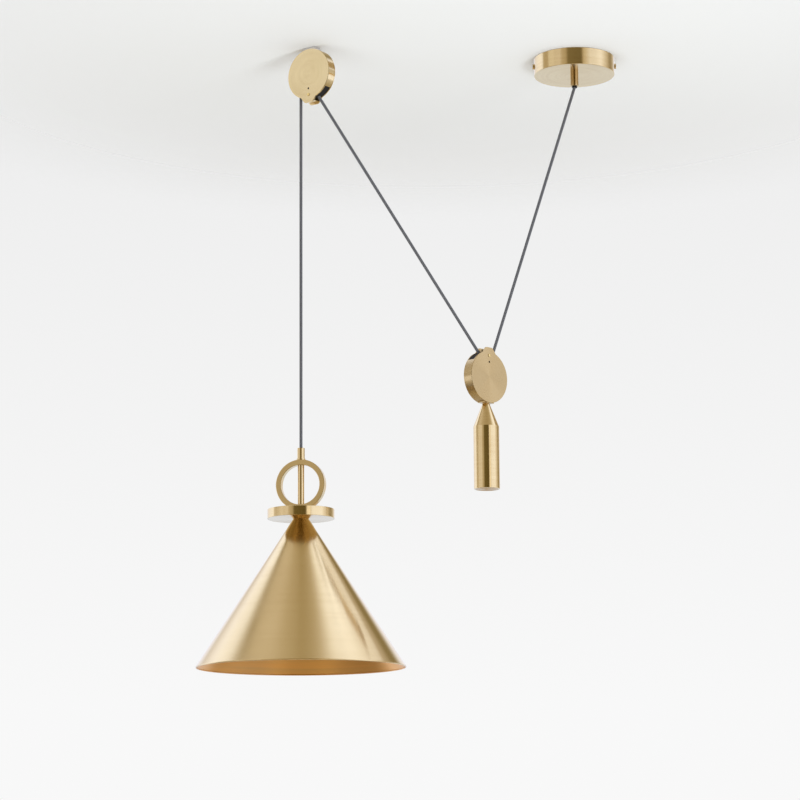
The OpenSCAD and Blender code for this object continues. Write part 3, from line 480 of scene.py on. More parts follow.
# lathe: the modifier's own mesh is the profile, X its radius and Z its height
def makeTurnedPart():
    inputs = {
        "Segments": 96, "Centre": (0, 0, 0), "Turn": (0, 0, 0), "ThreadPitch": 0.004,
        "ThreadDepth": 0.0, "Knurls": 0.0, "KnurlDepth": 0.0, "Finish": "Material",
    }
    tree, given, out = newShapeTree("turnedPart", inputs)
    profile = given["Geometry"]
    size = through("GeometryNodeAttributeDomainSize", {0: profile}, component="MESH")
    mesh, row, share = roundGrid(size, given["Segments"])
    place = addNode(tree, "GeometryNodeInputPosition").outputs[0]
    radius, _, height = split(sampleProfile(profile, row, place, "FLOAT_VECTOR"))
    names = ("along", "edgeMask", "ribbed")
    along, edge, ribbed = (sampleProfile(profile, row, stored(tree, name)) for name in names)
    angle = multiply(share, fullTurn)
    lead = subtract(divide(height, given["ThreadPitch"]), share)
    thread = multiply(calc("SINE", multiply(lead, fullTurn)), given["ThreadDepth"])
    knurl = subtract(calc("COSINE", multiply(angle, given["Knurls"])), 1.0)
    knurl = multiply(knurl, given["KnurlDepth"])
    reach = add(radius, multiply(add(thread, knurl), ribbed))
    x, y = (multiply(reach, calc(wave, angle)) for wave in ("COSINE", "SINE"))
    sockets = {"Vector": vectorOf(x, y, height), "Rotation": given["Turn"]}
    turned = through("ShaderNodeVectorRotate", sockets, rotation_type="EULER_XYZ")
    moved = vectorCalc("ADD", turned, given["Centre"])
    placed = through("GeometryNodeSetPosition", {"Geometry": mesh, "Position": moved})
    mapped = store(placed, "turnedMap", vectorOf(share, along, 0.0), "FLOAT2", "CORNER")
    closeShape(store(mapped, "edgeMask", edge, "FLOAT", "POINT"), given, out)
    return tree


# round cord along the modifier's own chain of points, with closed ends
def makeCordTube():
    inputs = {"Radius": 0.0022, "Step": 0.001, "Segments": 20, "Finish": "Material"}
    tree, given, out = newShapeTree("cordTube", inputs)
    curve = through("GeometryNodeMeshToCurve", {0: given["Geometry"]})
    length = through("GeometryNodeCurveLength", {0: curve})
    rings = calc("CEIL", divide(length, given["Step"]))
    mesh, row, share = roundGrid(add(rings, 3.0), given["Segments"])
    step = divide(subtract(row, 1.0), rings)
    distance = multiply(calc("MINIMUM", calc("MAXIMUM", step, 0.0), 1.0), length)
    sockets = {"Curves": curve, "Length": distance}
    sample = addNode(tree, "GeometryNodeSampleCurve", sockets, mode="LENGTH")
    place, along, normal = (sample.outputs[name] for name in ("Position", "Tangent", "Normal"))
    across = vectorCalc("CROSS_PRODUCT", along, normal)
    angle = multiply(share, fullTurn)
    side = multiply(calc("GREATER_THAN", row, 0.5), calc("LESS_THAN", row, add(rings, 1.5)))
    reach = multiply(given["Radius"], side)  # nothing at the first and last rows, which close the ends
    for direction, wave in ((normal, "COSINE"), (across, "SINE")):
        sockets = {0: direction, "Scale": multiply(reach, calc(wave, angle))}
        place = vectorCalc("ADD", place, through("ShaderNodeVectorMath", sockets, operation="SCALE"))
    placed = through("GeometryNodeSetPosition", {"Geometry": mesh, "Position": place})
    mapped = store(placed, "turnedMap", vectorOf(share, distance, 0.0), "FLOAT2", "CORNER")
    closeShape(mapped, given, out)
    return tree


# one shape put on each of the modifier's own points, its Z along the points' aim
def makeOnPoints():
    inputs = {"Shape": "Object", "TurnAbout": 0.5, "Seed": 7, "Finish": "Material"}
    tree, given, out = newShapeTree("onPoints", inputs)
    sockets = {"Object": given["Shape"]}
    shape = addNode(tree, "GeometryNodeObjectInfo", sockets, transform_space="ORIGINAL")
    sockets = {2: 0.0, 3: given["TurnAbout"], "Seed": given["Seed"]}
    spin = addNode(tree, "FunctionNodeRandomValue", sockets, data_type="FLOAT").outputs[1]
    about = through("FunctionNodeAxisAngleToRotation", {"Axis": (0, 0, 1), "Angle": spin})
    aim = stored(tree, "aim", "FLOAT_VECTOR")
    aligned = through("FunctionNodeAlignRotationToVector", {"Vector": aim}, axis="Z")
    sockets = {"Rotation": aligned, "Rotate By": about}
    both = through("FunctionNodeRotateRotation", sockets, rotation_space="LOCAL")
    sockets = {"Points": given["Geometry"], "Instance": shape.outputs["Geometry"], "Rotation": both}
    closeShape(through("GeometryNodeInstanceOnPoints", sockets), given, out, merge=0)
    return tree


turnedPart = makeTurnedPart()
cordTube = makeCordTube()
onPoints = makeOnPoints()


# an object's evaluated shape as a plain mesh; the object goes
def plainMesh(name, carrier, allLayers=True):
    graph = bpy.context.evaluated_depsgraph_get()
    made = bpy.data.meshes.new_from_object(
        carrier.evaluated_get(graph), preserve_all_data_layers=allLayers, depsgraph=graph
    )
    bpy.data.objects.remove(carrier)
    made.name = name
    return made


def shapeWith(tree, name, start, **values):
    carrier = linkedObject(name + "Start", start)  # removed again by plainMesh
    modifier = carrier.modifiers.new("shape", "NODES")
    modifier.node_group = tree
    for item in tree.interface.items_tree:
        if item.in_out == "INPUT" and item.name in values:
            modifier[item.identifier] = values[item.name]
    made = plainMesh(name, carrier)
    if made.materials and made.materials[0] is None:
        made.materials.pop(index=0)
        made.polygons.foreach_set("material_index", [0] * len(made.polygons))
    return made


def showPiece(name, mesh, body, node, sharp=35):
    mesh.polygons.foreach_set("use_smooth", [True] * len(mesh.polygons))
    if sharp:
        mesh.set_sharp_from_angle(angle=math.radians(sharp))
    piece = linkedObject(name, mesh)
    if body:
        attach(piece, body)
    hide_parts(node)
    return piece


# points round the corners of a profile; each corner is (radius, height, rounding)
def roundedProfile(corners, closed, steps=4):
    points = []
    count = len(corners)
    for i, (x, z, rounding) in enumerate(corners):
        here = Vector((x, z))
        before = Vector(corners[i - 1][:2]) if closed or i > 0 else None
        after = Vector(corners[(i + 1) % count][:2]) if closed or i < count - 1 else None
        if rounding <= 0 or before is None or after is None:
            points.append((x, z, 0.0))
            continue
        back, on = (before - here).normalized(), (after - here).normalized()
        half = back.angle(on) / 2
        cut = min(rounding / math.tan(half), (before - here).length * 0.45, (after - here).length * 0.45)
        radius = cut * math.tan(half)
        centre = here + (back + on).normalized() * (radius / math.sin(half))
        first, last = here + back * cut, here + on * cut
        support = min(cut * 0.8, 0.0006)
        points.append((*(first + back * support), 0.0))
        startArm, endArm = first - centre, last - centre
        sweep = startArm.angle_signed(endArm)
        for k in range(steps + 1):
            arm = startArm.copy()
            arm.rotate(Matrix.Rotation(-sweep * k / steps, 2))
            points.append((*(centre + arm), 1.0 if 0 < k < steps else 0.7))
        points.append((*(last + on * support), 0.0))
    if closed:
        points.append(points[0])
    return points


def chainMesh(name, points, **extra):
    mesh = bpy.data.meshes.new(name)
    mesh.from_pydata(points, [(i, i + 1) for i in range(len(points) - 1)], [])
    for key, values in extra.items():
        mesh.attributes.new(key, "FLOAT", "POINT").data.foreach_set("value", values)
    return mesh


def profileMesh(name, points, along, low, high):
    places = [(x, 0, z) for x, z, _ in points]
    edges = [p[2] for p in points]
    ribbed = [float(low * mm < p[1] < high * mm) for p in points]
    return chainMesh(name + "Profile", places, along=along, edgeMask=edges, ribbed=ribbed)


# a turned piece from corners in millimetres, measured from its own middle; a profile that starts
# on the axis ends there, any other is closed
def turnedPiece(name, node, sizes, body, slot, material, centre, turn=(0, 0, 0), ribs=(1, -1), **inputs):
    corners = [(r * mm, z * mm, rounding * mm) for r, z, rounding in sizes["profile"]]
    points = roundedProfile(corners, corners[0][0] > 0)
    along = [0.0]
    for p, q in zip(points, points[1:]):
        along.append(along[-1] + (Vector(q[:2]) - Vector(p[:2])).length)
    start = profileMesh(name, points, along, *ribs)
    inputs |= {"Segments": sizes.get("segments", 96), "Centre": tuple(centre), "Turn": tuple(turn)}
    made = shapeWith(turnedPart, name, start, **inputs, Finish=material)
    fixNormals(made)
    return showPiece(name, made, body, node)


def fixNormals(mesh):
    shell = bmesh.new()
    shell.from_mesh(mesh)
    bmesh.ops.recalc_face_normals(shell, faces=shell.faces)
    shell.to_mesh(mesh)
    shell.free()


# the cord, in stretches from the lamp up to the canopy
cordSizes = {
    "diameter": 4.4 * mm,
    "bend": 17.6 * mm,
    "wheel": 20 * mm,
    "step": 1.0 * mm,
    "segments": 20,
    "ease": 0.06,  # share of a free stretch over which it bends where it meets a body
}
# corners and touching points of the route, as in the part's source
cornerCeiling = Vector((-0.384096, -0.068061, -0.071831))
cornerSlant = Vector((-0.147352, -0.033301, -0.459369))
cornerRiser = Vector((-0.130851, -0.016914, -0.460323))
cornerCanopy = Vector((0, 0, -0.0433))
touchCeiling = Vector((-0.377163, -0.073061, -0.047013))
touchSlant = Vector((-0.153418, -0.039324, -0.484187))
touchRiser = Vector((-0.126249, -0.012344, -0.485758))
dropTop = Vector((-0.408721, -0.050301, -0.075))
dropEnd = Vector((-0.408721, -0.050301, -0.5971))
lampCordEnd = Vector((-0.408721, -0.050301, -0.710633))
canopyCordEnd = Vector((0, 0, -0.0156))


# round the corner between two straight runs
def bentCorner(before, corner, after, radius=cordSizes["bend"], steps=12):
    into = (corner - before).normalized()
    out = (after - corner).normalized()
    turn = into.angle(out)
    run = radius * math.tan(turn / 2)
    start = corner - into * run
    inward = (out - into * into.dot(out)).normalized()
    centre = start + inward * radius
    return [
        centre + (into * math.sin(turn * k / steps) - inward * math.cos(turn * k / steps)) * radius
        for k in range(steps + 1)
    ]


# round a wheel in its own upright plane
def roundWheel(hub, turnAbout, startAngle, endAngle, steps=40):
    sideways = Vector((math.cos(turnAbout), math.sin(turnAbout), 0))
    points = []
    for k in range(steps + 1):
        angle = math.radians(startAngle + (endAngle - startAngle) * k / steps)
        arm = sideways * math.cos(angle) + Vector((0, 0, 1)) * math.sin(angle)
        points.append(hub + arm * cordSizes["wheel"])
    return points


def straightRun(start, end, count=24):
    return [start.lerp(end, k / (count - 1)) for k in range(count)]


bendCeiling = bentCorner(touchCeiling, cornerCeiling, cornerSlant)
bendSlant = bentCorner(touchSlant, cornerSlant, cornerCeiling)
bendRiser = bentCorner(touchRiser, cornerRiser, cornerCanopy)
bendCanopy = bentCorner(canopyCordEnd, cornerCanopy, cornerRiser)


def cordPiece(name, points, body, node, sizes=cordSizes, material=cordCloth):
    start = chainMesh(name + "Line", [tuple(p) for p in points])
    inputs = {"Radius": sizes["diameter"] / 2, "Step": sizes["step"], "Segments": sizes["segments"]}
    made = shapeWith(cordTube, name, start, **inputs, Finish=material)
    fixNormals(made)
    return showPiece(name, made, body, node, sharp=60)


# a free stretch held between two bodies; it is drawn out as they part
def freeCord(name, node, start, end):
    points = straightRun(start, end)
    piece = cordPiece(name, points, None, node)
    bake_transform(piece)
    return piece


freeCord("dropCord", "cord_drop", dropTop, dropEnd)
freeCord("slantCord", "cord_slant", bendCeiling[-1], bendSlant[-1])
freeCord("riserCord", "cord_riser", bendCanopy[-1], bendRiser[-1])
overCeilingWheel = roundWheel(ceilingHub, ceilingTurn, 180, -19.005)
cordPiece(
    "cordOverCeilingWheel",
    [dropTop, Vector((dropTop.x, dropTop.y, -0.06)), *overCeilingWheel, *bendCeiling],
    "ceiling_fixture",
    "cord_on_ceiling_wheel",
)
underWeightWheel = roundWheel(weightHub, weightTurn, 160.995, 374.305)
cordPiece(
    "cordUnderWeightWheel",
    [*reversed(bendSlant), *underWeightWheel, *bendRiser],
    "counterweight",
    "cord_on_weight_wheel",
)
cordPiece("cordInCanopy", [canopyCordEnd, *bendCanopy], "ceiling_fixture", "cord_in_canopy")
cordPiece("cordInLamp", [dropEnd, lampCordEnd], "lamp_head", "cord_in_lamp")
print("cords done")

# finishes that need the pieces' places
ceilingFacing = (math.radians(90), 0, ceilingTurn)  # lathe axis along each pulley's axle
weightFacing = (math.radians(90), 0, weightTurn)
ringFacing = (math.radians(90), 0, ringTurn)
middle = (0, 0, 0)
lampFoot = Vector((lampAxis.x, lampAxis.y, 0))
weightFoot = Vector((weightHub.x, weightHub.y, 0))
ringHub = Vector((lampAxis.x, lampAxis.y, ringHeight))
canopyBrass = makeBrass("canopyBrass", middle)
# the grip's darker brass is painted shade under the canopy, on the same brass as the canopy
gripBrass = makeBrass("gripBrass", middle, tone=(0.56, 0.40, 0.18), lines=0.3, bands=0.0)
weightBrass = makeBrass("weightBrass", weightFoot)
lampBrass = makeBrass("lampBrass", lampFoot, bands=0.35)
smallBrass = makeBrass("smallBrass", lampFoot, lines=0.3, bands=0.0)
# the ceiling pulley's paler brass is a painted brighter reflection on the same brass
ceilingPulleyBrass = makeBrass(
    "ceilingPulleyBrass", ceilingHub, ceilingFacing, tone=(0.87, 0.70, 0.40), gloss=0.15, bands=0.5
)
# the weight pulley and its yoke get a darker brass: painted shade on the same brass
weightPulleyBrass = makeBrass(
    "weightPulleyBrass", weightHub, weightFacing, tone=(0.60, 0.43, 0.20), gloss=0.26, bands=0.5
)
ringBrass = makeBrass("ringBrass", ringHub, ringFacing, bands=0.3)
# the weight's underside gets a darker, deeper brass: painted shade
plugBrass = makeBrass("plugBrass", weightFoot, tone=(0.60, 0.38, 0.12), gloss=0.4)
footSteel = makeSteel("brightPlating", ceilingHub, ceilingFacing, tone=(0.70, 0.67, 0.61))
# coppery gold inside the shade, made brighter and more orange as painted light bounced round inside the cone
shadeInside = makeBrass("shadeInside", lampFoot, tone=(0.97, 0.50, 0.135), gloss=0.42, lines=0.5)
screwBrass = makeBrass("screwBrass", middle, gloss=0.16, lines=0.5, tangent=False)
# paler brass on the lug screws: a real polish, and a tone lightened as a painted highlight
polishedBrass = makeBrass(
    "polishedBrass", middle, tone=(0.96, 0.74, 0.30), gloss=0.08, lines=0.0, tangent=False
)
plainSteel = makeSteel("platedSteel", middle)
lampThread = makeSteel("lampThread", lampFoot, pitch=1.0 * mm)
studThread = makeSteel("studThread", weightFoot, pitch=1.0 * mm)
castIron = makeSteel("castIron", weightFoot, tone=(0.16, 0.16, 0.165))
# near-black grub screws: blackened steel, and dark enough to stand in as painted shade in their holes
darkSteel = makeSteel("blackenedSteel", middle, tone=(0.05, 0.05, 0.055))
blackPlastic = makeMoulding("blackPlastic", finish["black"], gloss=0.6, shine=0.2)
bakelite = makeMoulding("bakelite", (0.02, 0.018, 0.017), gloss=0.28, grain=900.0, coat=0.3)
whitePlastic = makeMoulding("whitePlastic", (0.75, 0.75, 0.73), gloss=0.45)
porcelain = makeMoulding("porcelain", finish["porcelain"], gloss=0.16, grain=600.0, rough=0.06, coat=0.5)
brownWire = makeMoulding("brownWire", (0.11, 0.04, 0.018), gloss=0.35, grain=2600.0)
blueWire = makeMoulding("blueWire", (0.015, 0.09, 0.34), gloss=0.35, grain=2600.0)
greenWire = makeMoulding("greenWire", (0.16, 0.42, 0.03), gloss=0.35, grain=2600.0)
print("finishes done")


# a copy of a node with its sharp edges broken, for parts cut from flat and round stock
def softened(name, node, body, material, width=0.2, corner=math.radians(32)):
    shell = bmesh.new()
    shell.from_mesh(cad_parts[node].data)
    bmesh.ops.remove_doubles(shell, verts=shell.verts, dist=0.002 * mm)
    flat = {"angle_limit": math.radians(0.6), "use_dissolve_boundaries": False}
    bmesh.ops.dissolve_limit(shell, verts=shell.verts, edges=shell.edges, **flat)
    points = [tuple(v.co) for v in shell.verts]
    faces = [[v.index for v in f.verts] for f in shell.faces]
    shell.free()
    mesh = bpy.data.meshes.new(name + "Sharp")
    mesh.from_pydata(points, [], faces)
    mesh.polygons.foreach_set("use_smooth", [True] * len(mesh.polygons))
    mesh.set_sharp_from_angle(angle=corner)
    mesh.materials.append(material)
    mesh.materials.append(None)  # the broken edges, so that they can be told apart below
    carrier = linkedObject(name + "Sharp", mesh)
    bevel = carrier.modifiers.new("edges", "BEVEL")
    bevel.width = width * mm
    bevel.segments = 2
    bevel.limit_method = "ANGLE"
    bevel.angle_limit = corner
    bevel.harden_normals = True
    bevel.material = 1
    made = plainMesh(name, carrier)
    mask = []
    for face in made.polygons:
        mask += [float(face.material_index)] * face.loop_total
        face.material_index = 0
    made.attributes.new("edgeMask", "FLOAT", "CORNER").data.foreach_set("value", mask)
    made.materials.pop(index=1)
    return showPiece(name, made, body, node, sharp=0)


def paintNode(node, material):
    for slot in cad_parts[node].material_slots:
        slot.material = material


knurlDepth = 0.08 * mm


# a screw with a slot across its head, from sizes in millimetres
def slottedShape(name, values):
    head, shank = values["head"], values["shank"]
    profile = [(0, -shank[1], 0), (shank[0], -shank[1], 0.2)]
    if head[0] > shank[0]:
        profile += [(shank[0], 0, 0), (head[0], 0, 0.15)]
    profile += [(head[0], head[1], values["edge"]), (0, head[1] + values.get("dome", 0), 0)]
    points = roundedProfile([(r * mm, z * mm, e * mm) for r, z, e in profile], False, 3)
    start = profileMesh(name, points, [0.0] * len(points), 0.2, 0.8 * head[1])
    knurls = float(values.get("knurls", 0))
    inputs = {"Segments": values.get("segments", 48), "Knurls": knurls, "Finish": screwBrass}
    made = shapeWith(turnedPart, name, start, **inputs, KnurlDepth=knurlDepth if knurls else 0.0)
    fixNormals(made)
    made.materials.clear()
    width, depth = values["slot"]
    if not depth:
        return made
    shape = linkedObject(name, made)
    cutter = bpy.data.meshes.new(name + "Cutter")
    box = bmesh.new()
    bmesh.ops.create_cube(box, size=1.0)
    for v in box.verts:
        v.co.x *= width * mm
        v.co.y *= head[0] * 3 * mm
        v.co.z = v.co.z * 4 * mm + (head[1] - depth + 2) * mm
    box.to_mesh(cutter)
    box.free()
    blade = linkedObject(name + "Cutter", cutter)
    cut = shape.modifiers.new("slot", "BOOLEAN")
    cut.operation = "DIFFERENCE"
    cut.solver = "EXACT"
    cut.object = blade
    slotted = plainMesh(name, shape, allLayers=False)
    slotted.materials.clear()
    bpy.data.objects.remove(blade)
    return slotted


def screwsAt(name, node, values, places, aim, body, material):
    shape = linkedObject(name + "Shape", slottedShape(name + "One", values))
    start = bpy.data.meshes.new(name + "Points")
    start.from_pydata([tuple(p) for p in places], [], [])
    aims = start.attributes.new("aim", "FLOAT_VECTOR", "POINT")
    for item, direction in zip(aims.data, aim):
        item.vector = direction
    inputs = {"Shape": shape, "TurnAbout": values["turn"], "Seed": values["seed"]}
    made = shapeWith(onPoints, name, start, **inputs, Finish=material)
    bpy.data.objects.remove(shape)
    return showPiece(name, made, body, node)


# ceiling canopy
canopy = {"segments": 192, "profile": [
    (4.9, -25.3, 0), (60.25, -25.3, 0.7), (60.25, 0, 0.2), (59.05, 0, 0.2), (59.05, -24.1, 0.4),
    (4.9, -24.1, 0),
]}
grip = {"profile": [
    (2.55, -17.1, 0), (4.9, -17.1, 0.3), (4.9, -25.3, 0), (6, -25.3, 0), (6, -32.6, 0.1),
    (5.65, -32.9, 0.1), (5.65, -33.5, 0.1), (6, -33.8, 0.1), (6, -41.8, 0.5), (4, -41.8, 0.1),
    (4, -37.8, 0), (2.55, -37.8, 0),
]}
gripBush = {"profile": [
    (2.55, -37.8, 0), (4, -37.8, 0), (4, -41.8, 0), (3.7, -41.8, 0), (3.7, -44.2, 0.3), (3.5, -44.2, 0),
    (2.55, -40.8, 0),
]}
sideScrew = {
    "head": (4, 2.4), "shank": (2, 4.6), "edge": 0.35, "slot": (0.9, 0.8),
    "knurls": 24, "segments": 144, "turn": 0.8, "seed": 3, "reach": 60.35 * mm, "height": -11 * mm,
}
for name, node, sizes, slot, material in (
    ("canopyCup", "canopy_cup", canopy, "satin_brass", canopyBrass),
    ("cordGrip", "cord_grip", grip, "satin_brass", gripBrass),
    ("gripBush", "cord_grip_bush", gripBush, "black_plastic", blackPlastic),
):
    turnedPiece(name, node, sizes, "ceiling_fixture", slot, material, middle)
for name, node, slot, material, width in (
    ("gripNut", "cord_grip_nut", "satin_brass", screwBrass, 0.3),
    ("ceilingStrap", "ceiling_strap", "steel", plainSteel, 0.25),
    ("terminalBlock", "terminal_block", "white_plastic", whitePlastic, 0.3),
):
    softened(name, node, "ceiling_fixture", material, width)
screwsAt(
    "sideScrews", "side_screws", sideScrew,
    [(side * sideScrew["reach"], 0, sideScrew["height"]) for side in (1, -1)],
    [(1, 0, 0), (-1, 0, 0)], "ceiling_fixture", screwBrass,
)
terminalScrew = {
    "head": (1.3, 0.4), "shank": (1.3, 1.6), "edge": 0.1, "slot": (0.45, 0.6),
    "segments": 24, "turn": 1.5, "seed": 11,
}
terminals = {
    "middle": 20 * mm, "apart": 5 * mm, "height": -12.3 * mm, "wireEnd": 11.5 * mm, "wireZ": -9 * mm,
}
terminalPlaces = [
    (terminals["middle"] + side * terminals["apart"], way * terminals["apart"], terminals["height"])
    for way in (-1, 0, 1)
    for side in (-1, 1)
]
screwsAt(
    "terminalScrews", "terminal_screws", terminalScrew, terminalPlaces, [(0, 0, -1)] * 6,
    "ceiling_fixture", plainSteel,
)
wireSizes = {"diameter": 1.3 * mm, "bend": 4.5 * mm, "core": 1.45 * mm, "step": 0.4 * mm, "segments": 16}
for name, node, angle, way, material, slot in (
    ("liveWire", "live_wire", -120, -1, brownWire, "brown_insulation"),
    ("neutralWire", "neutral_wire", 120, 1, blueWire, "blue_insulation"),
    ("earthWire", "earth_wire", 0, 0, greenWire, "green_insulation"),
):
    turned = math.radians(angle)
    core = Vector((math.cos(turned), math.sin(turned), 0)) * wireSizes["core"]
    low = core + canopyCordEnd
    level = Vector((core.x, core.y, terminals["wireZ"]))
    end = Vector((terminals["wireEnd"], way * terminals["apart"], terminals["wireZ"]))
    route = [low, *bentCorner(low, level, end, wireSizes["bend"]), end]
    cordPiece(name, route, "ceiling_fixture", node, wireSizes, material)
print("canopy done")
# pulleys
grooveAngles = [math.radians(a) for a in range(18, 180, 18)]
groove = [(20 - 2.35 * math.sin(a), -2.35 * math.cos(a), 0) for a in grooveAngles]
wheel = {"segments": 128, "profile": [
    (2.54, -4.5, 0.3), (24.6, -4.5, 0.5), (24.6, -2.35, 0.4), (20, -2.35, 0), *groove,
    (20, 2.35, 0), (24.6, 2.35, 0.4), (24.6, 4.5, 0.5), (2.54, 4.5, 0.3),
]}
lugScrew = {
    "head": (2.3, 0.9), "shank": (1.5, 16.0), "edge": 0.75, "dome": 0.15, "slot": (0.6, 0),
    "turn": 1.2, "seed": 5,
}
plateScrew = {
    "head": (2.5, 0.6), "shank": (1.5, 8.0), "edge": 0.35, "dome": 0.3, "slot": (0.7, 0.3),
    "turn": 2.4, "seed": 21,
}


def pulleySide(hub, turnAbout, x, y, z):
    return hub + Matrix.Rotation(turnAbout, 3, "Z") @ (Vector((x, y, z)) * mm)


def pulleyAim(turnAbout, y):
    return tuple(Matrix.Rotation(turnAbout, 3, "Z") @ Vector((0, y, 0)))


pulleys = [
    {
        "name": "ceilingPulley", "node": "ceiling_pulley", "hub": ceilingHub, "turn": ceilingTurn,
        "facing": ceilingFacing, "brass": ceilingPulleyBrass, "body": "ceiling_fixture",
        "wheelBody": "ceiling_wheel", "lug": -1, "screwZ": 33, "screws": "ceiling_foot_screws",
        "guides": ("drop_guide", "slant_guide"), "friction": "ceiling_friction_screw",
    },
    {
        "name": "weightPulley", "node": "weight_pulley", "hub": weightHub, "turn": weightTurn,
        "facing": weightFacing, "brass": weightPulleyBrass, "body": "counterweight",
        "wheelBody": "weight_wheel", "lug": 1, "screwZ": -32, "screws": "weight_yoke_screws",
        "guides": ("weight_slant_guide", "weight_riser_guide"), "friction": "weight_friction_screw",
    },
]
for p in pulleys:
    name, node, hub, turn, body = (p[key] for key in ("name", "node", "hub", "turn", "body"))
    for label, part, width in (
        ("Cup", "_cup", 0.25), ("Cover", "_cover", 0.25), ("LugBlock", "_lug_block", 0.15)
    ):
        softened(name + label, node + part, body, p["brass"], width)
    for guide in p["guides"]:
        softened(guide.replace("_", "-"), guide, body, blackPlastic, 0.15)
    turnedPiece(
        name + "Wheel", node + "_wheel", wheel, p["wheelBody"], "black_plastic", blackPlastic,
        hub, p["facing"],
    )
    screwsAt(
        name + "LugScrew", node + "_lug_screw", lugScrew, [pulleySide(hub, turn, 0, -8, p["lug"] * 32)],
        [pulleyAim(turn, -1)], body, polishedBrass,
    )
    screwsAt(
        name + "Screws", p["screws"], plateScrew,
        [pulleySide(hub, turn, side * 7.5, 8, p["screwZ"]) for side in (-1, 1)],
        [pulleyAim(turn, 1)] * 2, body, screwBrass,
    )
    paintNode(node + "_axle", plainSteel)
    paintNode(p["friction"], darkSteel)
softened("ceilingFoot", "ceiling_foot", "ceiling_fixture", footSteel, 0.3)
softened("weightYoke", "weight_yoke", "counterweight", weightPulleyBrass, 0.3)
print("pulleys done")

# counterweight
weightShell = {"segments": 160, "profile": [
    (3, -38, 0), (5.25, -38, 0.1), (5.25, -38.8, 0.15), (19, -72.8, 0.8), (19, -164.6, 0.5),
    (17, -164.6, 0.15), (17, -72.8, 0), (3, -72.8, 0),
]}
weightPlug = {"segments": 160, "profile": [
    (0, -161.6, 0), (17, -161.6, 0), (17, -164.6, 0.25), (0, -164.6, 0),
]}
for name, node, sizes, material in (
    ("weightShell", "weight_shell", weightShell, weightBrass),
    ("weightPlug", "weight_plug", weightPlug, plugBrass),
):
    turnedPiece(name, node, sizes, "counterweight", "satin_brass", material, weightHub)
paintNode("weight_stud", studThread)
paintNode("weight_ballast", castIron)
print("counterweight done")

# lamp head; heights below are measured from the ceiling, those of the ring and sleeve from its middle
collar = {"profile": [
    (2.55, -597.1, 0.3), (5.5, -597.1, 0.5), (5.5, -612.7, 0), (6.5, -612.7, 0.3), (6.5, -614.7, 0.2),
    (3.9, -614.7, 0), (3.9, -602.1, 0), (2.55, -602.1, 0),
]}
ring = {"segments": 192, "profile": [
    (28.75, -5, 0.5), (36.5, -5, 0.6), (36.5, 5, 0.6), (28.75, 5, 0.5),
]}
sleeve = {"profile": [(4.05, -28.3, 0), (4.7, -28.3, 0.1), (4.7, 28.3, 0.1), (4.05, 28.3, 0)]}
plateShell = {"segments": 160, "profile": [
    (3.9, -686.533, 0), (48.5, -686.533, 0.6), (48.5, -700.133, 0.5), (47.5, -700.133, 0.1),
    (47.5, -687.533, 0), (3.9, -687.533, 0),
]}
plateBase = {"segments": 160, "profile": [
    (3.9, -700.133, 0), (47.45, -700.133, 0.2), (47.45, -698.633, 0), (8, -698.633, 0), (8, -687.533, 0),
    (3.9, -687.533, 0),
]}
beadAngles = [math.radians(a) for a in range(50, -235, -20)]
shadeBead = [(149.4 + math.cos(a), -912.633 + math.sin(a), 0) for a in beadAngles]
shade = {"segments": 256, "profile": [
    (3.9, -700.133, 0), (11.3, -700.133, 0.5), *shadeBead, (10.883, -701.333, 0), (3.9, -701.333, 0),
]}
plated = "brass_plated_aluminium"
for name, node, sizes, slot, material, *place in (
    ("lampCollar", "lamp_collar", collar, "satin_brass", smallBrass, lampFoot),
    ("lampRing", "lamp_ring", ring, "satin_brass", ringBrass, ringHub, ringFacing),
    ("rodSleeve", "rod_sleeve", sleeve, "satin_brass", smallBrass, ringHub),
    ("plateShell", "plate_shell", plateShell, plated, lampBrass, lampFoot),
    ("plateBase", "plate_base", plateBase, plated, lampBrass, lampFoot),
    ("shade", "shade", shade, plated, lampBrass, lampFoot),
):
    piece = turnedPiece(name, node, sizes, "lamp_head", slot, material, *place)
piece.data.materials.append(shadeInside)  # the last piece is the shade, with a coppery finish inside, made brighter and more orange as painted bounced light
for face in piece.data.polygons:
    arm = face.center - lampFoot
    if arm.x * face.normal.x + arm.y * face.normal.y < 0 and face.normal.z < -0.3:
        face.material_index = 1
paintNode("threaded_tube", lampThread)
softened("shadeNut", "shade_nut", "lamp_head", plainSteel, 0.3)
print("lamp head done")

# lampholder
holderCap = {"profile": [
    (3.9, -705.333, 0), (8.5, -705.333, 0.8), (20, -723.333, 1.5), (20, -732.333, 0.25),
    (18.2, -732.333, 0), (18.2, -723.333, 0), (8.5, -707.133, 0), (3.9, -707.133, 0),
]}
holderBody = {"profile": [
    (17.5, -732.333, 0), (20, -732.333, 0.25), (20, -744, 0.1), (19.5, -744.4, 0.1), (19.5, -745.6, 0.1),
    (20, -746, 0.1), (20, -766.333, 1), (13.8, -766.333, 0.4), (13.8, -738.333, 0), (17.5, -738.333, 0),
]}
holderInsert = {"profile": [
    (0, -732.333, 0), (17.5, -732.333, 0), (17.5, -738.333, 0.5), (0, -738.333, 0),
]}
holderContact = {"profile": [
    (0, -738.333, 0), (2.5, -738.333, 0), (2.5, -740.6, 0.2), (1.6, -741.333, 0.2), (0, -741.333, 0),
]}
threadRows = [-741.833 - 20.5 * k / 60 for k in range(61)]
holderShell = {
    "profile": [(12.95, z, 0) for z in threadRows] + [(13.45, z, 0) for z in reversed(threadRows)],
}
threadForm = {"ribs": (-762.5, -741.6), "ThreadPitch": 3.62 * mm, "ThreadDepth": 0.35 * mm}
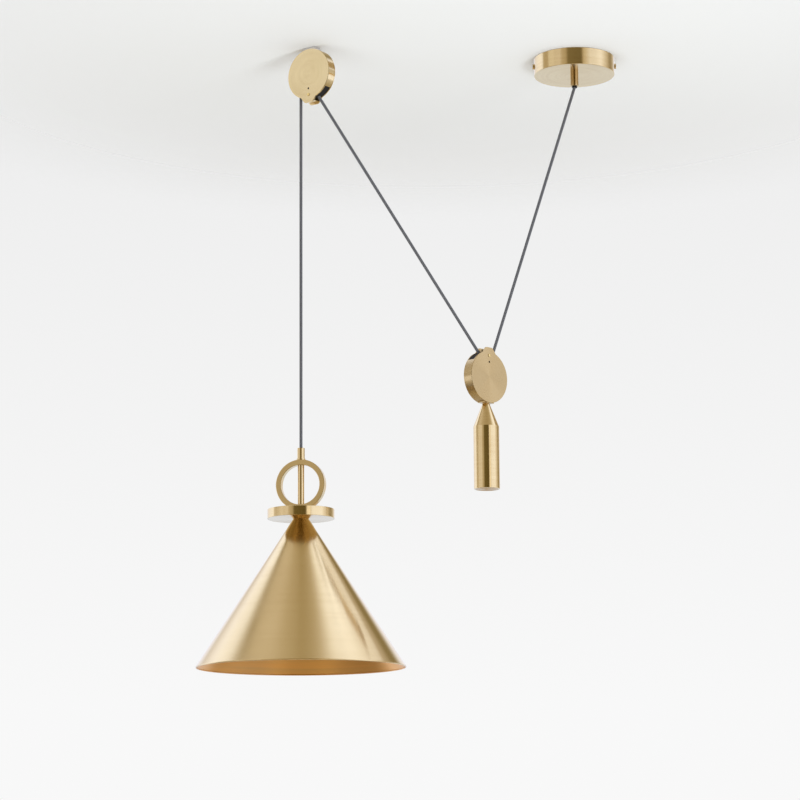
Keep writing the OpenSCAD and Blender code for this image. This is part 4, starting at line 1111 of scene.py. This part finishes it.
for name, node, sizes, slot, material, form in (
    ("holderCap", "holder_cap", holderCap, "black_plastic", bakelite, {}),
    ("holderBody", "holder_body", holderBody, "black_plastic", bakelite, {}),
    ("holderInsert", "holder_insert", holderInsert, "porcelain", porcelain, {}),
    ("holderShell", "holder_shell", holderShell, "satin_brass", lampBrass, threadForm),
    ("holderContact", "holder_contact", holderContact, "satin_brass", screwBrass, {}),
):
    turnedPiece(name, node, sizes, "lamp_head", slot, material, lampFoot, **form)
paintNode("holder_terminals", screwBrass)
holderWires = {"top": (1.45, -711.283), "end": (10, -726.683)}  # distance from the axis, and height
for name, node, side, material, slot in (
    ("holderLiveWire", "holder_live_wire", -1, brownWire, "brown_insulation"),
    ("holderNeutralWire", "holder_neutral_wire", 1, blueWire, "blue_insulation"),
):
    route = [lampFoot + Vector((side * out, 0, height)) * mm for out, height in holderWires.values()]
    cordPiece(name, route, "lamp_head", node, wireSizes, material)
print("lampholder done")

# studio: pale surroundings with broad soft lights and darker gaps between them
# each pair is a direction round the object, 0 towards the camera and 90 to the right, and its brightness
studio = {
    "low": [
        (-180, 0.95), (-150, 0.95), (-135, 1.05), (-107, 1.18), (-102, 0.6), (-92, 0.48), (-78, 0.58),
        (-66, 0.78), (-45, 0.84), (-39, 0.62), (-27, 0.5), (-21, 0.16), (17, 0.12), (22, 0.55),
        (30, 0.75), (42, 1.12), (78, 1.14), (88, 0.92), (107, 0.6), (116, 0.34), (126, 0.3),
        (142, 0.68), (155, 0.95), (180, 0.95),
    ],
    "high": [
        (-180, 0.55), (-157, 0.5), (-148, 0.95), (-136, 1.2), (-117, 1.2), (-111, 0.5), (-108, 0.28),
        (-104, 0.34), (-99, 0.68), (-75, 0.71), (-47, 0.56), (0, 0.46), (25, 0.47), (52, 0.53),
        (62, 0.64), (75, 1.05), (85, 1.2), (103, 1.25), (120, 1.03), (133, 0.98), (139, 0.55),
        (144, 0.26), (152, 0.3), (161, 0.4), (180, 0.55),
    ],
    "below": [
        (-180, 0.6), (-135, 0.5), (-115, 0.3), (-60, 0.26), (-20, 0.12), (20, 0.12), (100, 0.45), (180, 0.6),
    ],
    "patches": [  # direction, half width, height, half height in degrees, and colour
        (104, 34, -3, 9, (1.15, 1.2, 1.4)),
        (-88, 30, -2, 10, (1.1, 1.15, 1.35)),
        (-98, 34, -32, 14, (0.2, 0.15, 0.07)),
        (180, 50, -16, 17, (0.78, 0.86, 1.02)),
        (-180, 50, -16, 17, (0.78, 0.86, 1.02)),
        (-74, 11, 20, 6, (0.86, 0.87, 0.9)),
        (117, 21, 30, 9, (0.42, 0.33, 0.2)),
        (0, 80, -62, 12, (1.15, 1.0, 0.7)),
        (28, 7, 6, 7, (1.25, 1.25, 1.3)),
    ],
    "joinLow": (-20, -34),  # degrees above the horizon between which one ring gives way to the next
    "joinHigh": (16, 27),
    "patchCore": 0.65,  # share of a patch that has its full brightness
    "backdrop": {"heights": (3.5, 18.5), "levels": (0.94, 0.838)},
}
lampsAim = (-0.2, -0.05, 0)
lamps = [
    {"place": (0.95, -2.1, -1.65), "size": 1.0, "watts": 34, "colour": (0.86, 0.93, 1.0)},
    {"place": (-1.6, -1.5, -1.6), "size": 1.3, "watts": 6, "colour": (0.86, 0.93, 1.0)},
    {"place": (-0.2, -0.5, -2.3), "size": 5.0, "watts": 41, "colour": (0.84, 0.92, 1.0)},
]


# dark parts of a room are warmer than its lights
def lightColour(level):
    share = min(level, 1.2)
    return (level, level * (0.74 + 0.31 * share), level * (0.12 + 1.13 * share), 1)


def makeStudio(values):
    world = bpy.data.worlds.new("studio")
    bpy.context.scene.world = world
    world.use_nodes = True
    tree = world.node_tree
    tree.nodes.clear()
    x, y, z = split(addNode(tree, "ShaderNodeTexCoord").outputs["Generated"])
    bearing = calc("ARCTAN2", x, multiply(y, -1.0))
    share = add(divide(bearing, fullTurn), 0.5)
    height = multiply(calc("ARCSINE", z), 180 / math.pi)
    rings = []
    for key in ("below", "low", "high"):
        ramp = addNode(tree, "ShaderNodeValToRGB", {0: share})
        stops = ramp.color_ramp.elements
        while len(stops) < len(values[key]):
            stops.new(1.0)
        for stop, (angle, level) in zip(stops, values[key]):
            stop.position = angle / 360 + 0.5
            stop.color = lightColour(level)
        rings.append(ramp.outputs[0])
    raised = spread(height, *values["joinHigh"], smooth=True)
    sunk = spread(multiply(height, -1.0), *(-h for h in values["joinLow"]), smooth=True)
    around = blendColour(sunk, blendColour(raised, rings[1], rings[2]), rings[0])
    degrees = multiply(bearing, 180 / math.pi)
    for direction, halfWidth, level, halfHeight, colour in values["patches"]:
        shares = []
        for value, centre, half in ((degrees, direction, halfWidth), (height, level, halfHeight)):
            off = calc("ABSOLUTE", subtract(value, float(centre)))
            edge = spread(off, half * values["patchCore"], float(half), smooth=True)
            shares.append(subtract(1.0, edge))
        around = blendColour(multiply(*shares), around, colour)
    backdrop = values["backdrop"]
    level = spread(height, *backdrop["heights"], *backdrop["levels"])
    seen = addNode(tree, "ShaderNodeLightPath").outputs["Is Camera Ray"]
    shine = through("ShaderNodeBackground", {0: blendColour(seen, around, level)})
    addNode(tree, "ShaderNodeOutputWorld", {0: shine})


# soft lamps for the ceiling and the dull pieces; polished metal shows the surroundings only
def makeLamp(number, values):
    data = bpy.data.lights.new("softLamp" + str(number), "AREA")
    data.shape = "DISK"
    data.size = values["size"]
    data.energy = values["watts"]
    data.color = values["colour"]
    lamp = linkedObject(data.name, data)
    aim = Vector(lampsAim) - Vector(values["place"])
    turned = aim.to_track_quat("-Z", "Y").to_matrix().to_4x4()
    lamp.matrix_world = Matrix.Translation(values["place"]) @ turned
    lamp.visible_camera = False
    lamp.visible_glossy = False


makeStudio(studio)
for number, values in enumerate(lamps):
    makeLamp(number, values)
bpy.context.scene.view_settings.view_transform = "Standard"

# ceiling and floor, seen from one side only and fading into the surroundings
room = {
    "reach": 1.1,
    "fade": (0.25, 0.95),  # shares of the reach between which a surface fades out
    "white": 0.80,
    "rough": 0.9,
}


def makeRoomSurface(name, place, facesUp, glow, values):
    reach = values["reach"]
    corners = [(-reach, -reach), (reach, -reach), (reach, reach), (-reach, reach)]
    if not facesUp:
        corners.reverse()
    mesh = bpy.data.meshes.new(name)
    mesh.from_pydata([(place[0] + x, place[1] + y, place[2]) for x, y in corners], [], [(0, 1, 2, 3)])
    surface = linkedObject(name, mesh)
    surface.visible_glossy = False
    material, tree, shader = newMaterial(name + "Paint")
    setInputs(shader, {
        "Base Color": (values["white"],) * 3 + (1,),
        "Roughness": values["rough"],
        "Specular IOR Level": 0.0,
        "Emission Color": (1, 1, 1, 1),
        "Emission Strength": glow,
    })
    away = addNode(
        tree, "ShaderNodeVectorMath", {0: placeCoordinates(tree, place)}, operation="LENGTH"
    ).outputs["Value"]
    shown = spread(away, *(share * reach for share in values["fade"]), 1.0, 0.0, smooth=True)
    back = addNode(tree, "ShaderNodeNewGeometry").outputs["Backfacing"]
    clear = addNode(tree, "ShaderNodeBsdfTransparent").outputs[0]
    sockets = {0: multiply(shown, subtract(1.0, back)), 1: clear, 2: shader.outputs[0]}
    feed(tree.nodes["Material Output"].inputs["Surface"], through("ShaderNodeMixShader", sockets))
    mesh.materials.append(material)


makeRoomSurface("ceilingPlane", (-0.2, -0.03, 0.0006), False, 0.0, room)
makeRoomSurface("floorPlane", (-0.25, -0.05, -2.4), True, 0.34, room)
print("studio done")
